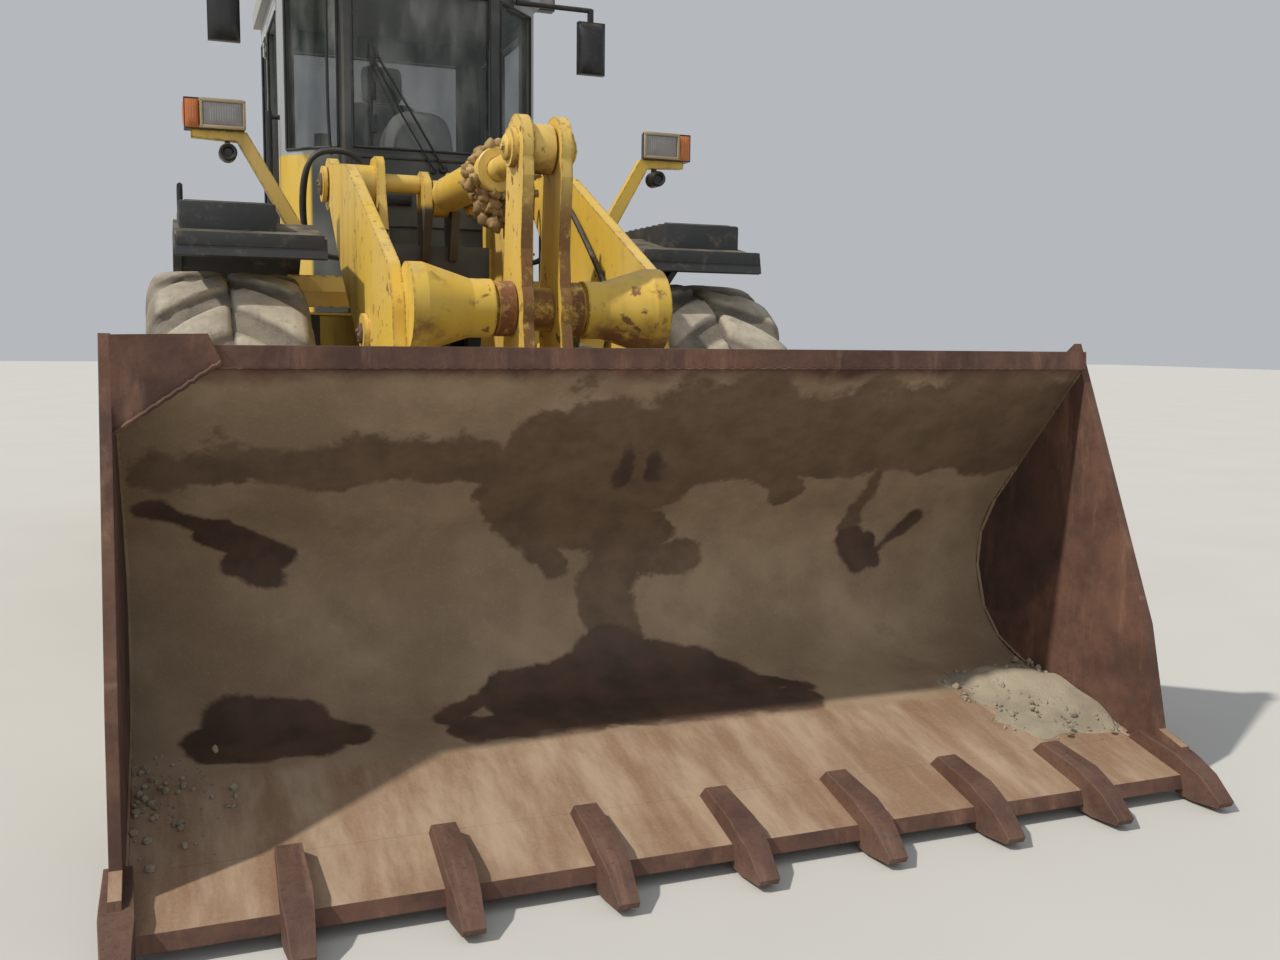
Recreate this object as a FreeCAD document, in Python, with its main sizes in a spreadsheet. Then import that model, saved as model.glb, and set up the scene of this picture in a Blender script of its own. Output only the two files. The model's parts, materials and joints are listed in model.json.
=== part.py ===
"""Articulated wheel loader with a toothed bucket, as an assembly of named pieces.

Millimetres. +Z is up, the machine looks along -Y, and +X is the driver's left hand.
The origin lies on the ground, under the middle of the machine's length and width.
"""
import FreeCAD, Part
import math
import os
import re

import Sketcher
from FreeCAD import Placement, Rotation, Vector

doc = FreeCAD.newDocument("wheel_loader")
sheet = doc.addObject("Spreadsheet::Sheet", "sizes")

# Driving dimensions: name, value (mm, or degrees where the name ends in _deg, or a count)
SIZES = [
    # chassis and axles
    ("pivot_y", 681), ("wheelbase", 3450), ("track", 2300), ("pivot_pin_radius", 50),
    ("lug_plate", 60), ("lug_gap", 7), ("lug_round", 145), ("upper_lug_z", 1150), ("lower_lug_z", 650),
    ("pin_clearance", 0.5), ("running_gap", 7),
    # wheels
    ("tyre_radius", 860), ("tyre_width", 720), ("tread_depth", 40), ("bead_radius", 330),
    ("bead_half_width", 265), ("lug_pitches", 16), ("rim_flange", 24), ("rim_wall", 16), ("flange_step", 12),
    ("disc_offset", 60), ("disc_wall", 24), ("hub_radius", 205), ("hub_depth", 150),
    ("spindle_radius", 90), ("spindle_length", 120), ("axle_tube_radius", 150),
    ("axle_end_radius", 185), ("differential_radius", 300), ("axle_gap", 12),
    # front frame and tower
    ("tower_inner", 300), ("tower_plate", 44), ("tower_top", 2385), ("frame_bottom", 600),
    ("axle_seat_z", 1045),
    ("boom_pin_y", -300), ("boom_pin_z", 2230), ("boom_pin_radius", 62), ("boom_boss_radius", 112),
    ("tilt_pin_y", -370), ("tilt_pin_z", 2175), ("tilt_pin_radius", 42), ("tower_bar_radius", 50),
    ("tilt_ear_plate", 45),
    ("lift_pin_y", -200), ("lift_pin_z", 1230), ("lift_pin_radius", 45),
    # boom
    ("arm_centre", 559), ("arm_plate", 54), ("arm_boss_radius", 135), ("arm_end_radius", 122),
    ("bucket_pin_y", -2910), ("bucket_pin_z", 400), ("bucket_pin_radius", 50),
    ("lever_pin_y", -2240), ("lever_pin_z", 1545), ("journal_radius", 88), ("collar_radius", 112),
    ("collar_width", 70), ("beam_radius", 118), ("beam_flare", 60),
    ("lift_eye_y", -1600), ("lift_eye_z", 1440),
    # lever and link
    ("lever_gap", 56), ("lever_plate", 46), ("lever_top_y", -2280), ("lever_top_z", 2180),
    ("lever_foot_y", -2540), ("lever_foot_z", 405), ("lever_top_radius", 130),
    ("lever_hub_radius", 172), ("lever_foot_radius", 95), ("link_width", 98), ("link_radius", 80),
    ("link_eye_y", -2940), ("link_eye_z", 668), ("link_pin_radius", 42), ("link_depth", 110),
    # cylinders
    ("lift_line", 436), ("lift_barrel_radius", 70), ("lift_rod_radius", 44), ("lift_eye_radius", 88),
    ("lift_barrel_length", 1270), ("lift_retraction", 35), ("lift_eye_half", 60),
    ("tilt_barrel_radius", 90), ("tilt_rod_radius", 52), ("tilt_eye_radius", 98), ("tilt_retraction", 130),
    ("tilt_barrel_start", 240), ("tilt_barrel_length", 1040), ("tilt_eye_half", 46),
    ("barrel_head", 60), ("steer_line_z", 900), ("steer_barrel_radius", 50), ("steer_rod_radius", 27),
    ("steer_eye_radius", 55), ("steer_base_x", 315), ("steer_base_y", 1560), ("steer_eye_x", 400),
    ("steer_eye_y", 330), ("steer_barrel_length", 760), ("steer_pin_radius", 26), ("steer_eye_half", 32),
    ("steer_retraction", 250), ("steer_ear_plate", 26),
    ("bore_clearance", 1),
    # bucket
    ("bucket_half", 1585), ("side_plate", 30), ("skin_plate", 26), ("edge_y", -4262), ("edge_z", 75),
    ("edge_plate", 40), ("lip_y", -3686), ("lip_z", 1345), ("lip_band", 56), ("lip_depth", 60),
    ("heel_y", -2834), ("heel_z", 366), ("heel_radius", 352), ("ear_plate", 40), ("ear_gap", 7),
    ("ear_radius", 120), ("tooth_count", 9), ("tooth_reach", 138), ("tooth_width", 78),
    ("tooth_height", 62), ("tooth_tail", 250), ("bracket_plate", 36), ("bracket_radius", 150),
    ("corner_gusset_width", 300),
    # cab
    ("cab_half", 760), ("cab_front", 60), ("cab_back", 1640), ("cab_floor_z", 1560), ("cab_top_z", 3450),
    ("cab_wall", 55), ("cab_nose_half", 440), ("cab_corner_y", 400), ("sill_z", 2490), ("glass", 8),
    ("window_top_z", 3375), ("door_front", 470), ("door_back", 1190), ("door_bottom_z", 1640),
    ("roof_thick", 105), ("roof_overhang", 45), ("door_gap", 6), ("door_sill_z", 2050),
    ("hinge_knuckle", 12), ("hinge_pin", 6), ("hinge_out", 14),
    # hood and rear
    ("hood_half", 720), ("hood_front", 1700), ("hood_back", 3980), ("hood_bottom_z", 1300),
    ("hood_top_z", 2380), ("hood_wall", 60), ("hood_door_front", 1860), ("hood_door_back", 3420),
    ("hood_door_bottom_z", 1890), ("hood_door_top_z", 2240), ("hood_door_wall", 36),
    ("rear_end_y", 4400), ("weight_half", 1180), ("weight_front", 3720), ("weight_bottom_z", 640),
    ("weight_top_z", 1500), ("rail_centre", 545), ("rail_plate", 50), ("rail_top_z", 1299.7),
    ("rail_bottom_z", 760), ("grille_half", 520), ("grille_bottom_z", 1560), ("grille_top_z", 2240),
    ("grille_wall", 40),
    # fenders, platforms and small fittings
    ("fender_inner", 745), ("fender_outer", 1370), ("deck_z", 1500), ("arch_gap", 78), ("arch_wall", 32),
    ("deck_outer", 1330), ("deck_front", 1010), ("deck_back", 1700), ("deck_plate", 40), ("arch_outer", 1420),
    ("tank_outer", 1180), ("tank_front", 1010), ("tank_back", 1500),
    ("rail_tube", 18), ("lamp_x", 1160), ("lamp_y", -750), ("lamp_z", 2480),
]

NAMES = {name for name, value in SIZES}
for row, (name, value) in enumerate(SIZES, 1):
    sheet.set(f"A{row}", name)
    sheet.set(f"B{row}", str(value))
    sheet.setAlias(f"B{row}", name)
doc.recompute()


def size(name):
    """The number that the sheet holds under a name."""
    return float(sheet.get(name))


def cell_text(text):
    """An expression in which each named size points at its cell."""
    return re.sub(r"[a-z][a-z0-9_]*", lambda m: "sizes." + m[0] if m[0] in NAMES else m[0], str(text))


def bind(obj, **texts):
    """Bind properties to expressions of the named sizes; a double underscore stands for a dot."""
    for prop, text in texts.items():
        obj.setExpression(prop.replace("__", "."), cell_text(text))
    return obj


def worth(text):
    """The value of an expression of the named sizes."""
    return float(sheet.evalExpression(cell_text(text)))


counter = {"n": 0}


def fresh(stem):
    """An internal name that no other object has."""
    counter["n"] += 1
    return f"{stem}_{counter['n']}"


def box(x, y, z):
    """A block between two expressions along each axis."""
    part = doc.addObject("Part::Box", fresh("block"))
    for (low, high), edge, place in zip((x, y, z), ("Length", "Width", "Height"), "xyz"):
        bind(part, **{edge: f"({high}) - ({low})", "Placement__Base__" + place: low})
    return part


TURN_TO = {"x": Rotation(Vector(0, 1, 0), 90), "y": Rotation(Vector(1, 0, 0), -90), "z": Rotation()}


def rod(axis, at, radius, span):
    """A cylinder along an axis: at holds its other two coordinates in x, y, z order."""
    part = doc.addObject("Part::Cylinder", fresh("round"))
    part.Placement = Placement(Vector(), TURN_TO[axis])
    places = dict(zip([a for a in "xyz" if a != axis], at))
    places[axis] = span[0]
    bind(part, Radius=radius, Height=f"({span[1]}) - ({span[0]})")
    for letter, text in places.items():
        bind(part, **{"Placement__Base__" + letter: text})
    return part


ROLE = {"yz": "YZ_Plane", "xz": "XZ_Plane", "xy": "XY_Plane"}


def plate(plane, points, span, rounds=()):
    """A sketched outline padded between two expressions along the plane's normal.

    Points are pairs of expressions. On yz they are y, z and the pad runs along +X; on xy they are
    x, y and it runs along +Z; on xz they are x, z and it runs along -Y, so span is given as -y.
    rounds pairs the number of a corner with its radius.
    """
    body = doc.addObject("PartDesign::Body", fresh("body"))
    sketch = body.newObject("Sketcher::SketchObject", fresh("outline"))
    origin_plane = [f for f in body.Origin.OriginFeatures if f.Role == ROLE[plane]][0]
    sketch.AttachmentSupport = [(origin_plane, "")]
    sketch.MapMode = "FlatFace"
    ends = [Vector(worth(u), worth(v), 0) for u, v in points]
    count = len(ends)
    for i in range(count):
        sketch.addGeometry(Part.LineSegment(ends[i], ends[(i + 1) % count]), False)
    for i in range(count):
        sketch.addConstraint(Sketcher.Constraint("Coincident", i, 2, (i + 1) % count, 1))
    for i, texts in enumerate(points):
        for kind, text, number in zip(("DistanceX", "DistanceY"), texts, (ends[i].x, ends[i].y)):
            held = sketch.addConstraint(Sketcher.Constraint(kind, i, 1, number))
            sketch.setExpression(f"Constraints[{held}]", cell_text(text))
    bind(sketch, AttachmentOffset__Base__z=span[0])
    pad = body.newObject("PartDesign::Pad", fresh("pad"))
    pad.Profile = sketch
    bind(pad, Length=f"({span[1]}) - ({span[0]})")
    body.recompute()
    sketch.Visibility = False
    lift = {"yz": lambda p: Vector(0, p.x, p.y), "xz": lambda p: Vector(p.x, 0, p.y),
            "xy": lambda p: Vector(p.x, p.y, 0)}[plane]
    along = {"yz": Vector(1, 0, 0), "xz": Vector(0, 1, 0), "xy": Vector(0, 0, 1)}[plane]
    base = pad
    for corner, radius in rounds:
        doc.recompute()
        spot = lift(ends[corner])
        for number, edge in enumerate(base.Shape.Edges, 1):
            a, b = edge.Vertexes[0].Point, edge.Vertexes[-1].Point
            if abs((b - a).normalize().dot(along)) > 0.999 and (a - along * a.dot(along)
                                                                - spot).Length < 0.01:
                fillet = body.newObject("PartDesign::Fillet", fresh("fillet"))
                fillet.Base = (base, [f"Edge{number}"])
                bind(fillet, Radius=radius)
                base = fillet
                break
    return body


def turned(profile, axis, at, start="0"):
    """A closed profile of (radius, position) pairs turned about an axis through at.

    The profile is sketched in a plane that holds the axis and the solid is laid along x, y or z.
    """
    body = doc.addObject("PartDesign::Body", fresh("turned"))
    sketch = body.newObject("Sketcher::SketchObject", fresh("section"))
    origin_plane = [f for f in body.Origin.OriginFeatures if f.Role == "XZ_Plane"][0]
    sketch.AttachmentSupport = [(origin_plane, "")]
    sketch.MapMode = "FlatFace"
    ends = [Vector(worth(r), worth(p), 0) for r, p in profile]
    count = len(ends)
    for i in range(count):
        sketch.addGeometry(Part.LineSegment(ends[i], ends[(i + 1) % count]), False)
    for i in range(count):
        sketch.addConstraint(Sketcher.Constraint("Coincident", i, 2, (i + 1) % count, 1))
    for i, texts in enumerate(profile):
        for kind, text, number in zip(("DistanceX", "DistanceY"), texts, (ends[i].x, ends[i].y)):
            held = sketch.addConstraint(Sketcher.Constraint(kind, i, 1, number))
            sketch.setExpression(f"Constraints[{held}]", cell_text(text))
    solid = body.newObject("PartDesign::Revolution", fresh("revolution"))
    solid.Profile = sketch
    solid.ReferenceAxis = (sketch, ["V_Axis"])
    solid.Angle = 360
    body.Placement = Placement(Vector(), TURN_TO[axis])
    places = dict(zip([a for a in "xyz" if a != axis], at))
    places[axis] = start
    for letter, text in places.items():
        bind(body, **{"Placement__Base__" + letter: text})
    return body


def fuse(*parts):
    """One solid, or one shape, from several that meet."""
    if len(parts) == 1:
        return parts[0]
    joined = doc.addObject("Part::MultiFuse", fresh("fusion"))
    joined.Shapes = list(parts)
    joined.Refine = True
    return joined


def cut(base, *tools):
    """A shape with the tools taken out of it."""
    result = doc.addObject("Part::Cut", fresh("cut"))
    result.Base = base
    result.Tool = fuse(*tools)
    result.Refine = True
    return result


def mirrored(part):
    """The same piece on the other side of the machine."""
    copy = doc.addObject("Part::Mirroring", fresh("mirrored"))
    copy.Source = part
    copy.Base = Vector(0, 0, 0)
    copy.Normal = Vector(1, 0, 0)
    return copy


def group(*parts):
    """Pieces that share a node and don't touch."""
    held = doc.addObject("Part::Compound", fresh("group"))
    held.Links = list(parts)
    return held


def both(part):
    """A piece and its mirror image in one node."""
    return group(part, mirrored(part))


nodes = []


def node(label, part):
    """Name a finished piece; the label is also its file's name."""
    part.Label = label
    nodes.append(part)
    return part


def side_pair(stem, part):
    """The left piece and its mirrored right one as two nodes."""
    node(stem + "_left", part)
    node(stem + "_right", mirrored(part))


def along_yz(part, y, z, angle):
    """Lay a piece that was built along +Z so that it points up-forward by an angle from -Y."""
    part.Placement = Placement(Vector(), Rotation(Vector(1, 0, 0), 10))
    bind(part, Placement__Rotation__Angle=f"90 deg - ({angle})", Placement__Base__y=y, Placement__Base__z=z)
    return part


# Wheels: a polygon-built tyre with staggered curved lugs, and a dished rim with its hub
FRONT_AXLE = "(pivot_y - wheelbase / 2)"
REAR_AXLE = "(pivot_y + wheelbase / 2)"

TREAD_EDGE = 0.860

# Tyre section from the inner bead to the outer one: half-width share, radius share of the way
# from bead to tread base, and whether the lugs stand on it (0 no, 1 shoulder, 2 crown, 3 centre)
TYRE_STATIONS = [
    # across, height, lug
    (0.735, 0.00, 0),
    (0.985, 0.42, 0),
    (0.960, 0.78, 1),
    (TREAD_EDGE, 1.00, 2),
    (0.420, 1.00, 2),
    (0.000, 1.00, 3),
]
LUG_STEPS = 4
LUG_SWEEP = 0.85


def tyre_shape(hand):
    """The tyre about the X axis; hand is +1 on the left side, where the outer face is at +X."""
    pitches = int(size("lug_pitches"))
    columns = pitches * LUG_STEPS
    base = size("tyre_radius") - size("tread_depth")
    bead, depth, half = size("bead_radius"), size("tread_depth"), size("tyre_width") / 2
    step = 2 * math.pi / columns

    def ring(share, height, lug, side):
        points = []
        for column in range(columns):
            phase = (column + (LUG_STEPS / 2 if side > 0 else 0)) % LUG_STEPS
            raised = phase < LUG_STEPS / 2 and lug in (1, 2)
            radius = bead + (base - bead) * height
            if raised:
                radius += depth * 0.55 if lug == 1 else depth
                radius /= math.cos(step / 2) if share == TREAD_EDGE else 1
            sweep = LUG_SWEEP * step * LUG_STEPS * (share ** 1.4 - TREAD_EDGE ** 1.4 if lug else 0)
            angle = (column - 0.5) * step + sweep - math.pi / 2
            outward = half * share + (8 if raised and lug == 1 else 0)
            points.append(Vector(side * outward, radius * math.cos(angle), radius * math.sin(angle)))
        return points

    rings = [ring(*station, -1) for station in TYRE_STATIONS]
    rings += [ring(*station, 1) for station in reversed(TYRE_STATIONS[:-1])]
    faces = []
    loops = rings + [rings[0]]
    for first, second in zip(loops, loops[1:]):
        for i in range(columns):
            j = (i + 1) % columns
            corners = [first[i], first[j], second[j], second[i]]
            for triple in ((0, 1, 2), (0, 2, 3)):
                outline = [corners[k] for k in triple]
                faces.append(Part.Face(Part.makePolygon(outline + outline[:1])))
    shell = Part.makeShell(faces)
    shell.sewShape()
    solid = Part.makeSolid(shell)
    if solid.Volume < 0:
        solid.reverse()
    if hand < 0:
        solid = solid.mirror(Vector(), Vector(1, 0, 0))
    return solid


def wheel(stem, hand, axle):
    """A tyre and a rim as two nodes."""
    tyre = doc.addObject("Part::Feature", fresh("tyre"))
    tyre.Shape = tyre_shape(hand)
    bind(tyre, Placement__Base__x=f"{hand} * track / 2", Placement__Base__y=axle,
         Placement__Base__z="tyre_radius")
    node("tyre_" + stem, tyre)
    seat = "bead_radius - 1"
    inside = "bead_radius - 1 - rim_wall"
    edge = "(bead_half_width + flange_step)"
    disc = "disc_offset"
    profile = [
        (seat, f"-{edge}"), (f"{seat} + rim_flange", f"-{edge}"), (f"{seat} + rim_flange", f"-{edge} - 13"),
        (inside, f"-{edge} - 13"), (inside, f"{disc} - 20"), ("hub_radius + 30", disc), ("hub_radius", disc),
        ("spindle_radius + pin_clearance", disc),
        ("spindle_radius + pin_clearance", f"{disc} + spindle_length"), ("0", f"{disc} + spindle_length"),
        ("0", f"{disc} + hub_depth + 30"), ("hub_radius * 0.45", f"{disc} + hub_depth + 30"),
        ("hub_radius * 0.6", f"{disc} + hub_depth"), ("hub_radius", f"{disc} + hub_depth - 30"),
        ("hub_radius", f"{disc} + disc_wall"), ("hub_radius + 30", f"{disc} + disc_wall"),
        (inside, f"{disc} + 10"), (inside, f"{edge} + 13"), (f"{seat} + rim_flange", f"{edge} + 13"),
        (f"{seat} + rim_flange", edge), (seat, edge),
    ]
    rim = turned(profile, "x", (axle, "tyre_radius"), "track / 2")
    node("rim_" + stem, rim if hand > 0 else mirrored(rim))


wheel("front_left", 1, FRONT_AXLE)
wheel("front_right", -1, FRONT_AXLE)
wheel("rear_left", 1, REAR_AXLE)
wheel("rear_right", -1, REAR_AXLE)


def axle(label, place, nose, pad_x):
    """A drive axle: differential ball, tapered arms, brake drums and the wheel spindles."""
    drum = "track / 2 + disc_offset - axle_gap"
    ball_end = "tower_inner - 20"
    profile = [
        ("0", "0"), ("differential_radius", "0"), ("differential_radius * 0.96", f"({ball_end}) * 0.4"),
        ("differential_radius * 0.72", f"({ball_end}) * 0.85"), ("axle_tube_radius", ball_end),
        ("axle_tube_radius * 0.86", f"{drum} - 260"), ("axle_end_radius", f"{drum} - 220"),
        ("axle_end_radius", f"{drum} - 30"), ("axle_end_radius - 30", drum), ("spindle_radius", drum),
        ("spindle_radius", f"{drum} + spindle_length"), ("0", f"{drum} + spindle_length"),
    ]
    left = turned(profile, "x", (place, "tyre_radius"))
    nose_end = f"{place} + ({nose}) * (differential_radius + 150)"
    ends = (place, nose_end) if nose > 0 else (nose_end, place)
    pinion = rod("y", ("0", "tyre_radius + 10"), "axle_tube_radius * 0.8", ends)
    flange_y = f"{place} + ({nose}) * (differential_radius + 20)"
    flange = rod("y", ("0", "tyre_radius + 10"), "axle_tube_radius", (f"{flange_y} - 20", f"{flange_y} + 20"))
    pads = [box((x, f"({x}) + 120"), (f"{place} - 130", f"{place} + 130"),
                ("tyre_radius + axle_tube_radius * 0.6", "axle_seat_z"))
            for x in (f"{pad_x} - 60", f"-({pad_x}) - 60")]
    return node(label, fuse(left, mirrored(left), pinion, flange, *pads))


axle("front_axle", FRONT_AXLE, 1, "tower_inner + tower_plate / 2")
axle("rear_axle", REAR_AXLE, -1, "rail_centre")

# Front frame: two tower plates, cross members, hinge lugs, and the pins that carry the boom
plate_x = ("tower_inner", "tower_inner + tower_plate")
TOWER = [
    (f"{FRONT_AXLE} - 440", "frame_bottom + 80"), (f"{FRONT_AXLE} - 480", "frame_bottom + 330"),
    (f"{FRONT_AXLE} - 230", "frame_bottom + 620"), ("boom_pin_y - 330", "boom_pin_z - 560"),
    ("boom_pin_y - 160", "boom_pin_z - 60"), ("boom_pin_y - 110", "tower_top"),
    ("boom_pin_y + 110", "tower_top"),
    ("boom_pin_y + 160", "boom_pin_z - 60"), ("lift_pin_y + 60", "lift_pin_z + 330"),
    ("lift_pin_y + 150", "upper_lug_z + 150"), ("pivot_y - 480", "upper_lug_z + 90"),
    ("pivot_y - 480", "lower_lug_z - 50"), (f"{FRONT_AXLE} + 300", "frame_bottom"),
    (f"{FRONT_AXLE} - 200", "frame_bottom"),
]
tower = plate("yz", TOWER, plate_x, ((3, "300"), (5, "70"), (6, "70"), (8, "120")))
boom_boss = rod("x", ("boom_pin_y", "boom_pin_z"), "boom_boss_radius",
                ("tower_inner", "arm_centre - arm_plate / 2 - running_gap"))
boom_pin = rod("x", ("boom_pin_y", "boom_pin_z"), "boom_pin_radius",
               ("arm_centre - arm_plate / 2 - running_gap - 5",
                "arm_centre + arm_plate / 2 + running_gap + 5"))
boom_cap = rod("x", ("boom_pin_y", "boom_pin_z"), "boom_boss_radius - 18",
               ("arm_centre + arm_plate / 2 + running_gap", "arm_centre + arm_plate / 2 + running_gap + 24"))
lift_pin = rod("x", ("lift_pin_y", "lift_pin_z"), "lift_pin_radius",
               ("tower_inner", "lift_line + lift_eye_half + running_gap + 30"))
lift_cap = rod("x", ("lift_pin_y", "lift_pin_z"), "lift_pin_radius + 22",
               ("lift_line + lift_eye_half + running_gap", "lift_line + lift_eye_half + running_gap + 30"))
tower_bar = rod("x", ("boom_pin_y - 20", "boom_pin_z + 20"), "tower_bar_radius",
                ("tilt_eye_half + running_gap", "tower_inner + 10"))
tilt_ear = plate("yz", [("tilt_pin_y - 95", "tilt_pin_z - 70"), ("tilt_pin_y - 70", "tilt_pin_z + 85"),
                        ("boom_pin_y - 40", "boom_pin_z + 95"), ("boom_pin_y + 60", "boom_pin_z + 75"),
                        ("tilt_pin_y + 120", "tilt_pin_z - 70"), ("tilt_pin_y + 110", "tilt_pin_z - 330"),
                        ("tilt_pin_y - 10", "tilt_pin_z - 330")],
                 ("tilt_eye_half + running_gap", "tilt_eye_half + running_gap + tilt_ear_plate"),
                 ((0, "60"), (1, "60"), (2, "50"), (3, "50")))
left_tower = fuse(tower, boom_boss, boom_pin, boom_cap, lift_pin, lift_cap, tower_bar, tilt_ear)
tilt_pin = rod("x", ("tilt_pin_y", "tilt_pin_z"), "tilt_pin_radius",
               ("-tilt_eye_half - running_gap - 10", "tilt_eye_half + running_gap + 10"))
CROSS_MEMBERS = [
    # y from, y to, z from, z to
    (f"{FRONT_AXLE} - 440", f"{FRONT_AXLE} - 400", "frame_bottom + 80", "frame_bottom + 420"),
    (f"{FRONT_AXLE} - 300", f"{FRONT_AXLE} + 320", "frame_bottom + 565", "frame_bottom + 605"),
    ("tilt_pin_y + 30", "tilt_pin_y + 80", "tilt_pin_z - 560", "tilt_pin_z - 250"),
    ("pivot_y - 540", "pivot_y - 480", "lower_lug_z - 50", "upper_lug_z + 90"),
]
members = [box(("-tower_inner - 5", "tower_inner + 5"), (y0, y1), (z0, z1))
           for y0, y1, z0, z1 in CROSS_MEMBERS]


def hinge_lug(z, toward):
    """One plate of the articulation hinge, rounded about the pivot; toward is -1 for the front frame."""
    root = f"pivot_y + ({toward}) * 485"
    ends = (root, "pivot_y") if toward < 0 else ("pivot_y", root)
    neck = plate("xy", [("-lug_round", "pivot_y"), ("lug_round", "pivot_y"),
                        ("lug_round + 110", root), ("-lug_round - 110", root)], (z, f"({z}) + lug_plate"))
    eye = rod("z", ("0", "pivot_y"), "lug_round", (z, f"({z}) + lug_plate"))
    return [neck, eye]


front_lugs = hinge_lug("upper_lug_z - lug_plate / 2", -1) + hinge_lug("lower_lug_z - lug_plate / 2", -1)
lug_bore = rod("z", ("0", "pivot_y"), "pivot_pin_radius + pin_clearance",
               ("lower_lug_z - 200", "upper_lug_z + 200"))
STEER_EAR_PLACES = ("steer_line_z - steer_eye_half - running_gap - steer_ear_plate",
                    "steer_line_z + steer_eye_half + running_gap")
steer_ears_front = [plate("xy", [("steer_eye_x - 80", "steer_eye_y - 470"),
                                 ("steer_eye_x + 70", "steer_eye_y - 250"),
                                 ("steer_eye_x + 55", "steer_eye_y + 40"),
                                 ("steer_eye_x - 55", "steer_eye_y + 40"),
                                 ("tower_inner - 90", "steer_eye_y - 250")],
                          (z, f"({z}) + steer_ear_plate"), ((2, "40"), (3, "40")))
                    for z in STEER_EAR_PLACES]
fender_arm = plate("yz", [(f"{FRONT_AXLE} + 700", "tyre_radius + 800"),
                          (f"{FRONT_AXLE} + 700", "tyre_radius + 886.9"),
                          (f"{FRONT_AXLE} + 790", "tyre_radius + 806.4"),
                          (f"{FRONT_AXLE} + 790", "tyre_radius + 720")],
                   ("tower_inner + tower_plate - 5", "fender_inner + 60"))
axle_arch = box(("-tower_inner - 100", "tower_inner + 100"), (f"{FRONT_AXLE} - 215", f"{FRONT_AXLE} + 215"),
                ("frame_bottom - 50", "axle_seat_z"))
front_frame = cut(fuse(left_tower, mirrored(left_tower), tilt_pin, *members, *front_lugs,
                       *steer_ears_front, *[mirrored(e) for e in steer_ears_front],
                       fender_arm, mirrored(fender_arm)), lug_bore, axle_arch)
node("front_frame", front_frame)

# Front fenders: bent sheet over each front tyre, with a raised box at the top
FENDER = [
    (f"{FRONT_AXLE} - 520", "tyre_radius + 900"), (f"{FRONT_AXLE} - 500", "tyre_radius + 985"),
    (f"{FRONT_AXLE} + 20", "tyre_radius + 1090"), (f"{FRONT_AXLE} + 560", "tyre_radius + 1060"),
    (f"{FRONT_AXLE} + 850", "tyre_radius + 800"), (f"{FRONT_AXLE} + 930", "tyre_radius + 560"),
    (f"{FRONT_AXLE} + 896", "tyre_radius + 550"), (f"{FRONT_AXLE} + 820", "tyre_radius + 780"),
    (f"{FRONT_AXLE} + 545", "tyre_radius + 1026"), (f"{FRONT_AXLE} + 20", "tyre_radius + 1056"),
    (f"{FRONT_AXLE} - 470", "tyre_radius + 955"), (f"{FRONT_AXLE} - 490", "tyre_radius + 895"),
]
fender_sheet = plate("yz", FENDER, ("fender_inner", "fender_outer"))
fender_cheek = plate("yz", [(f"{FRONT_AXLE} - 500", "tyre_radius + 930"),
                            (f"{FRONT_AXLE} + 20", "tyre_radius + 1080"),
                            (f"{FRONT_AXLE} + 555", "tyre_radius + 1050"),
                            (f"{FRONT_AXLE} + 840", "tyre_radius + 795"),
                            (f"{FRONT_AXLE} + 545", "tyre_radius + 960"),
                            (f"{FRONT_AXLE} + 20", "tyre_radius + 985"),
                            (f"{FRONT_AXLE} - 480", "tyre_radius + 900")],
                     ("fender_outer - 40", "fender_outer"))
node("front_fenders", both(fuse(fender_sheet, fender_cheek)))

# Head lamps on arms that rise from the fenders' inner edges
LAMP_ARM = [
    ("fender_inner + 5", "tyre_radius + 1076.5"), ("fender_inner + 85", "tyre_radius + 1076.5"),
    ("lamp_x - 95", "lamp_z - 128"), ("lamp_x + 115", "lamp_z - 118"), ("lamp_x + 115", "lamp_z - 82"),
    ("lamp_x - 140", "lamp_z - 82"),
]
lamp_arm = plate("xz", LAMP_ARM, ("-lamp_y - 25", "-lamp_y + 25"))
node("lamp_arms", both(lamp_arm))
lamp_body = plate("xy", [("lamp_x - 135", "lamp_y - 60"), ("lamp_x + 75", "lamp_y - 60"),
                         ("lamp_x + 75", "lamp_y + 50"), ("lamp_x - 105", "lamp_y + 50")],
                  ("lamp_z - 82", "lamp_z + 62"), ((0, "18"), (1, "18")))
indicator = box(("lamp_x + 75", "lamp_x + 145"), ("lamp_y - 50", "lamp_y + 40"),
                ("lamp_z - 82", "lamp_z + 62"))
horn = rod("y", ("lamp_x - 50", "lamp_z - 184"), "42", ("lamp_y - 60", "lamp_y + 20"))
horn_stem = box(("lamp_x - 62", "lamp_x - 38"), ("lamp_y - 12", "lamp_y + 12"),
                ("lamp_z - 150", "lamp_z - 127"))
node("head_lamps", both(group(fuse(lamp_body, indicator), fuse(horn, horn_stem))))

# Boom: two arms, the cross beam between them with its round journals, and the eye bosses
arm_x = ("arm_centre - arm_plate / 2", "arm_centre + arm_plate / 2")
ARM = [
    ("boom_pin_y + 60", "boom_pin_z + 120"), ("boom_pin_y - 690", "boom_pin_z + 20"),
    ("lever_pin_y + 107", "lever_pin_z + 177"), ("lever_pin_y + 5", "lever_pin_z + 24"),
    ("lever_pin_y - 10", "lever_pin_z - 160"), ("bucket_pin_y + 185", "bucket_pin_z + 470"),
    ("bucket_pin_y - 88", "bucket_pin_z + 86"), ("bucket_pin_y + 40", "bucket_pin_z - 114"),
    ("bucket_pin_y + 540", "bucket_pin_z + 330"), ("lift_eye_y + 60", "lift_eye_z - 190"),
    ("boom_pin_y - 475", "boom_pin_z - 474"), ("boom_pin_y - 60", "boom_pin_z - 120"),
]
arm_sheet = plate("yz", ARM, arm_x, ((1, "400"), (2, "150"), (3, "150"), (4, "300"), (5, "500"), (8, "400")))
arm_root = rod("x", ("boom_pin_y", "boom_pin_z"), "arm_boss_radius", arm_x)
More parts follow.
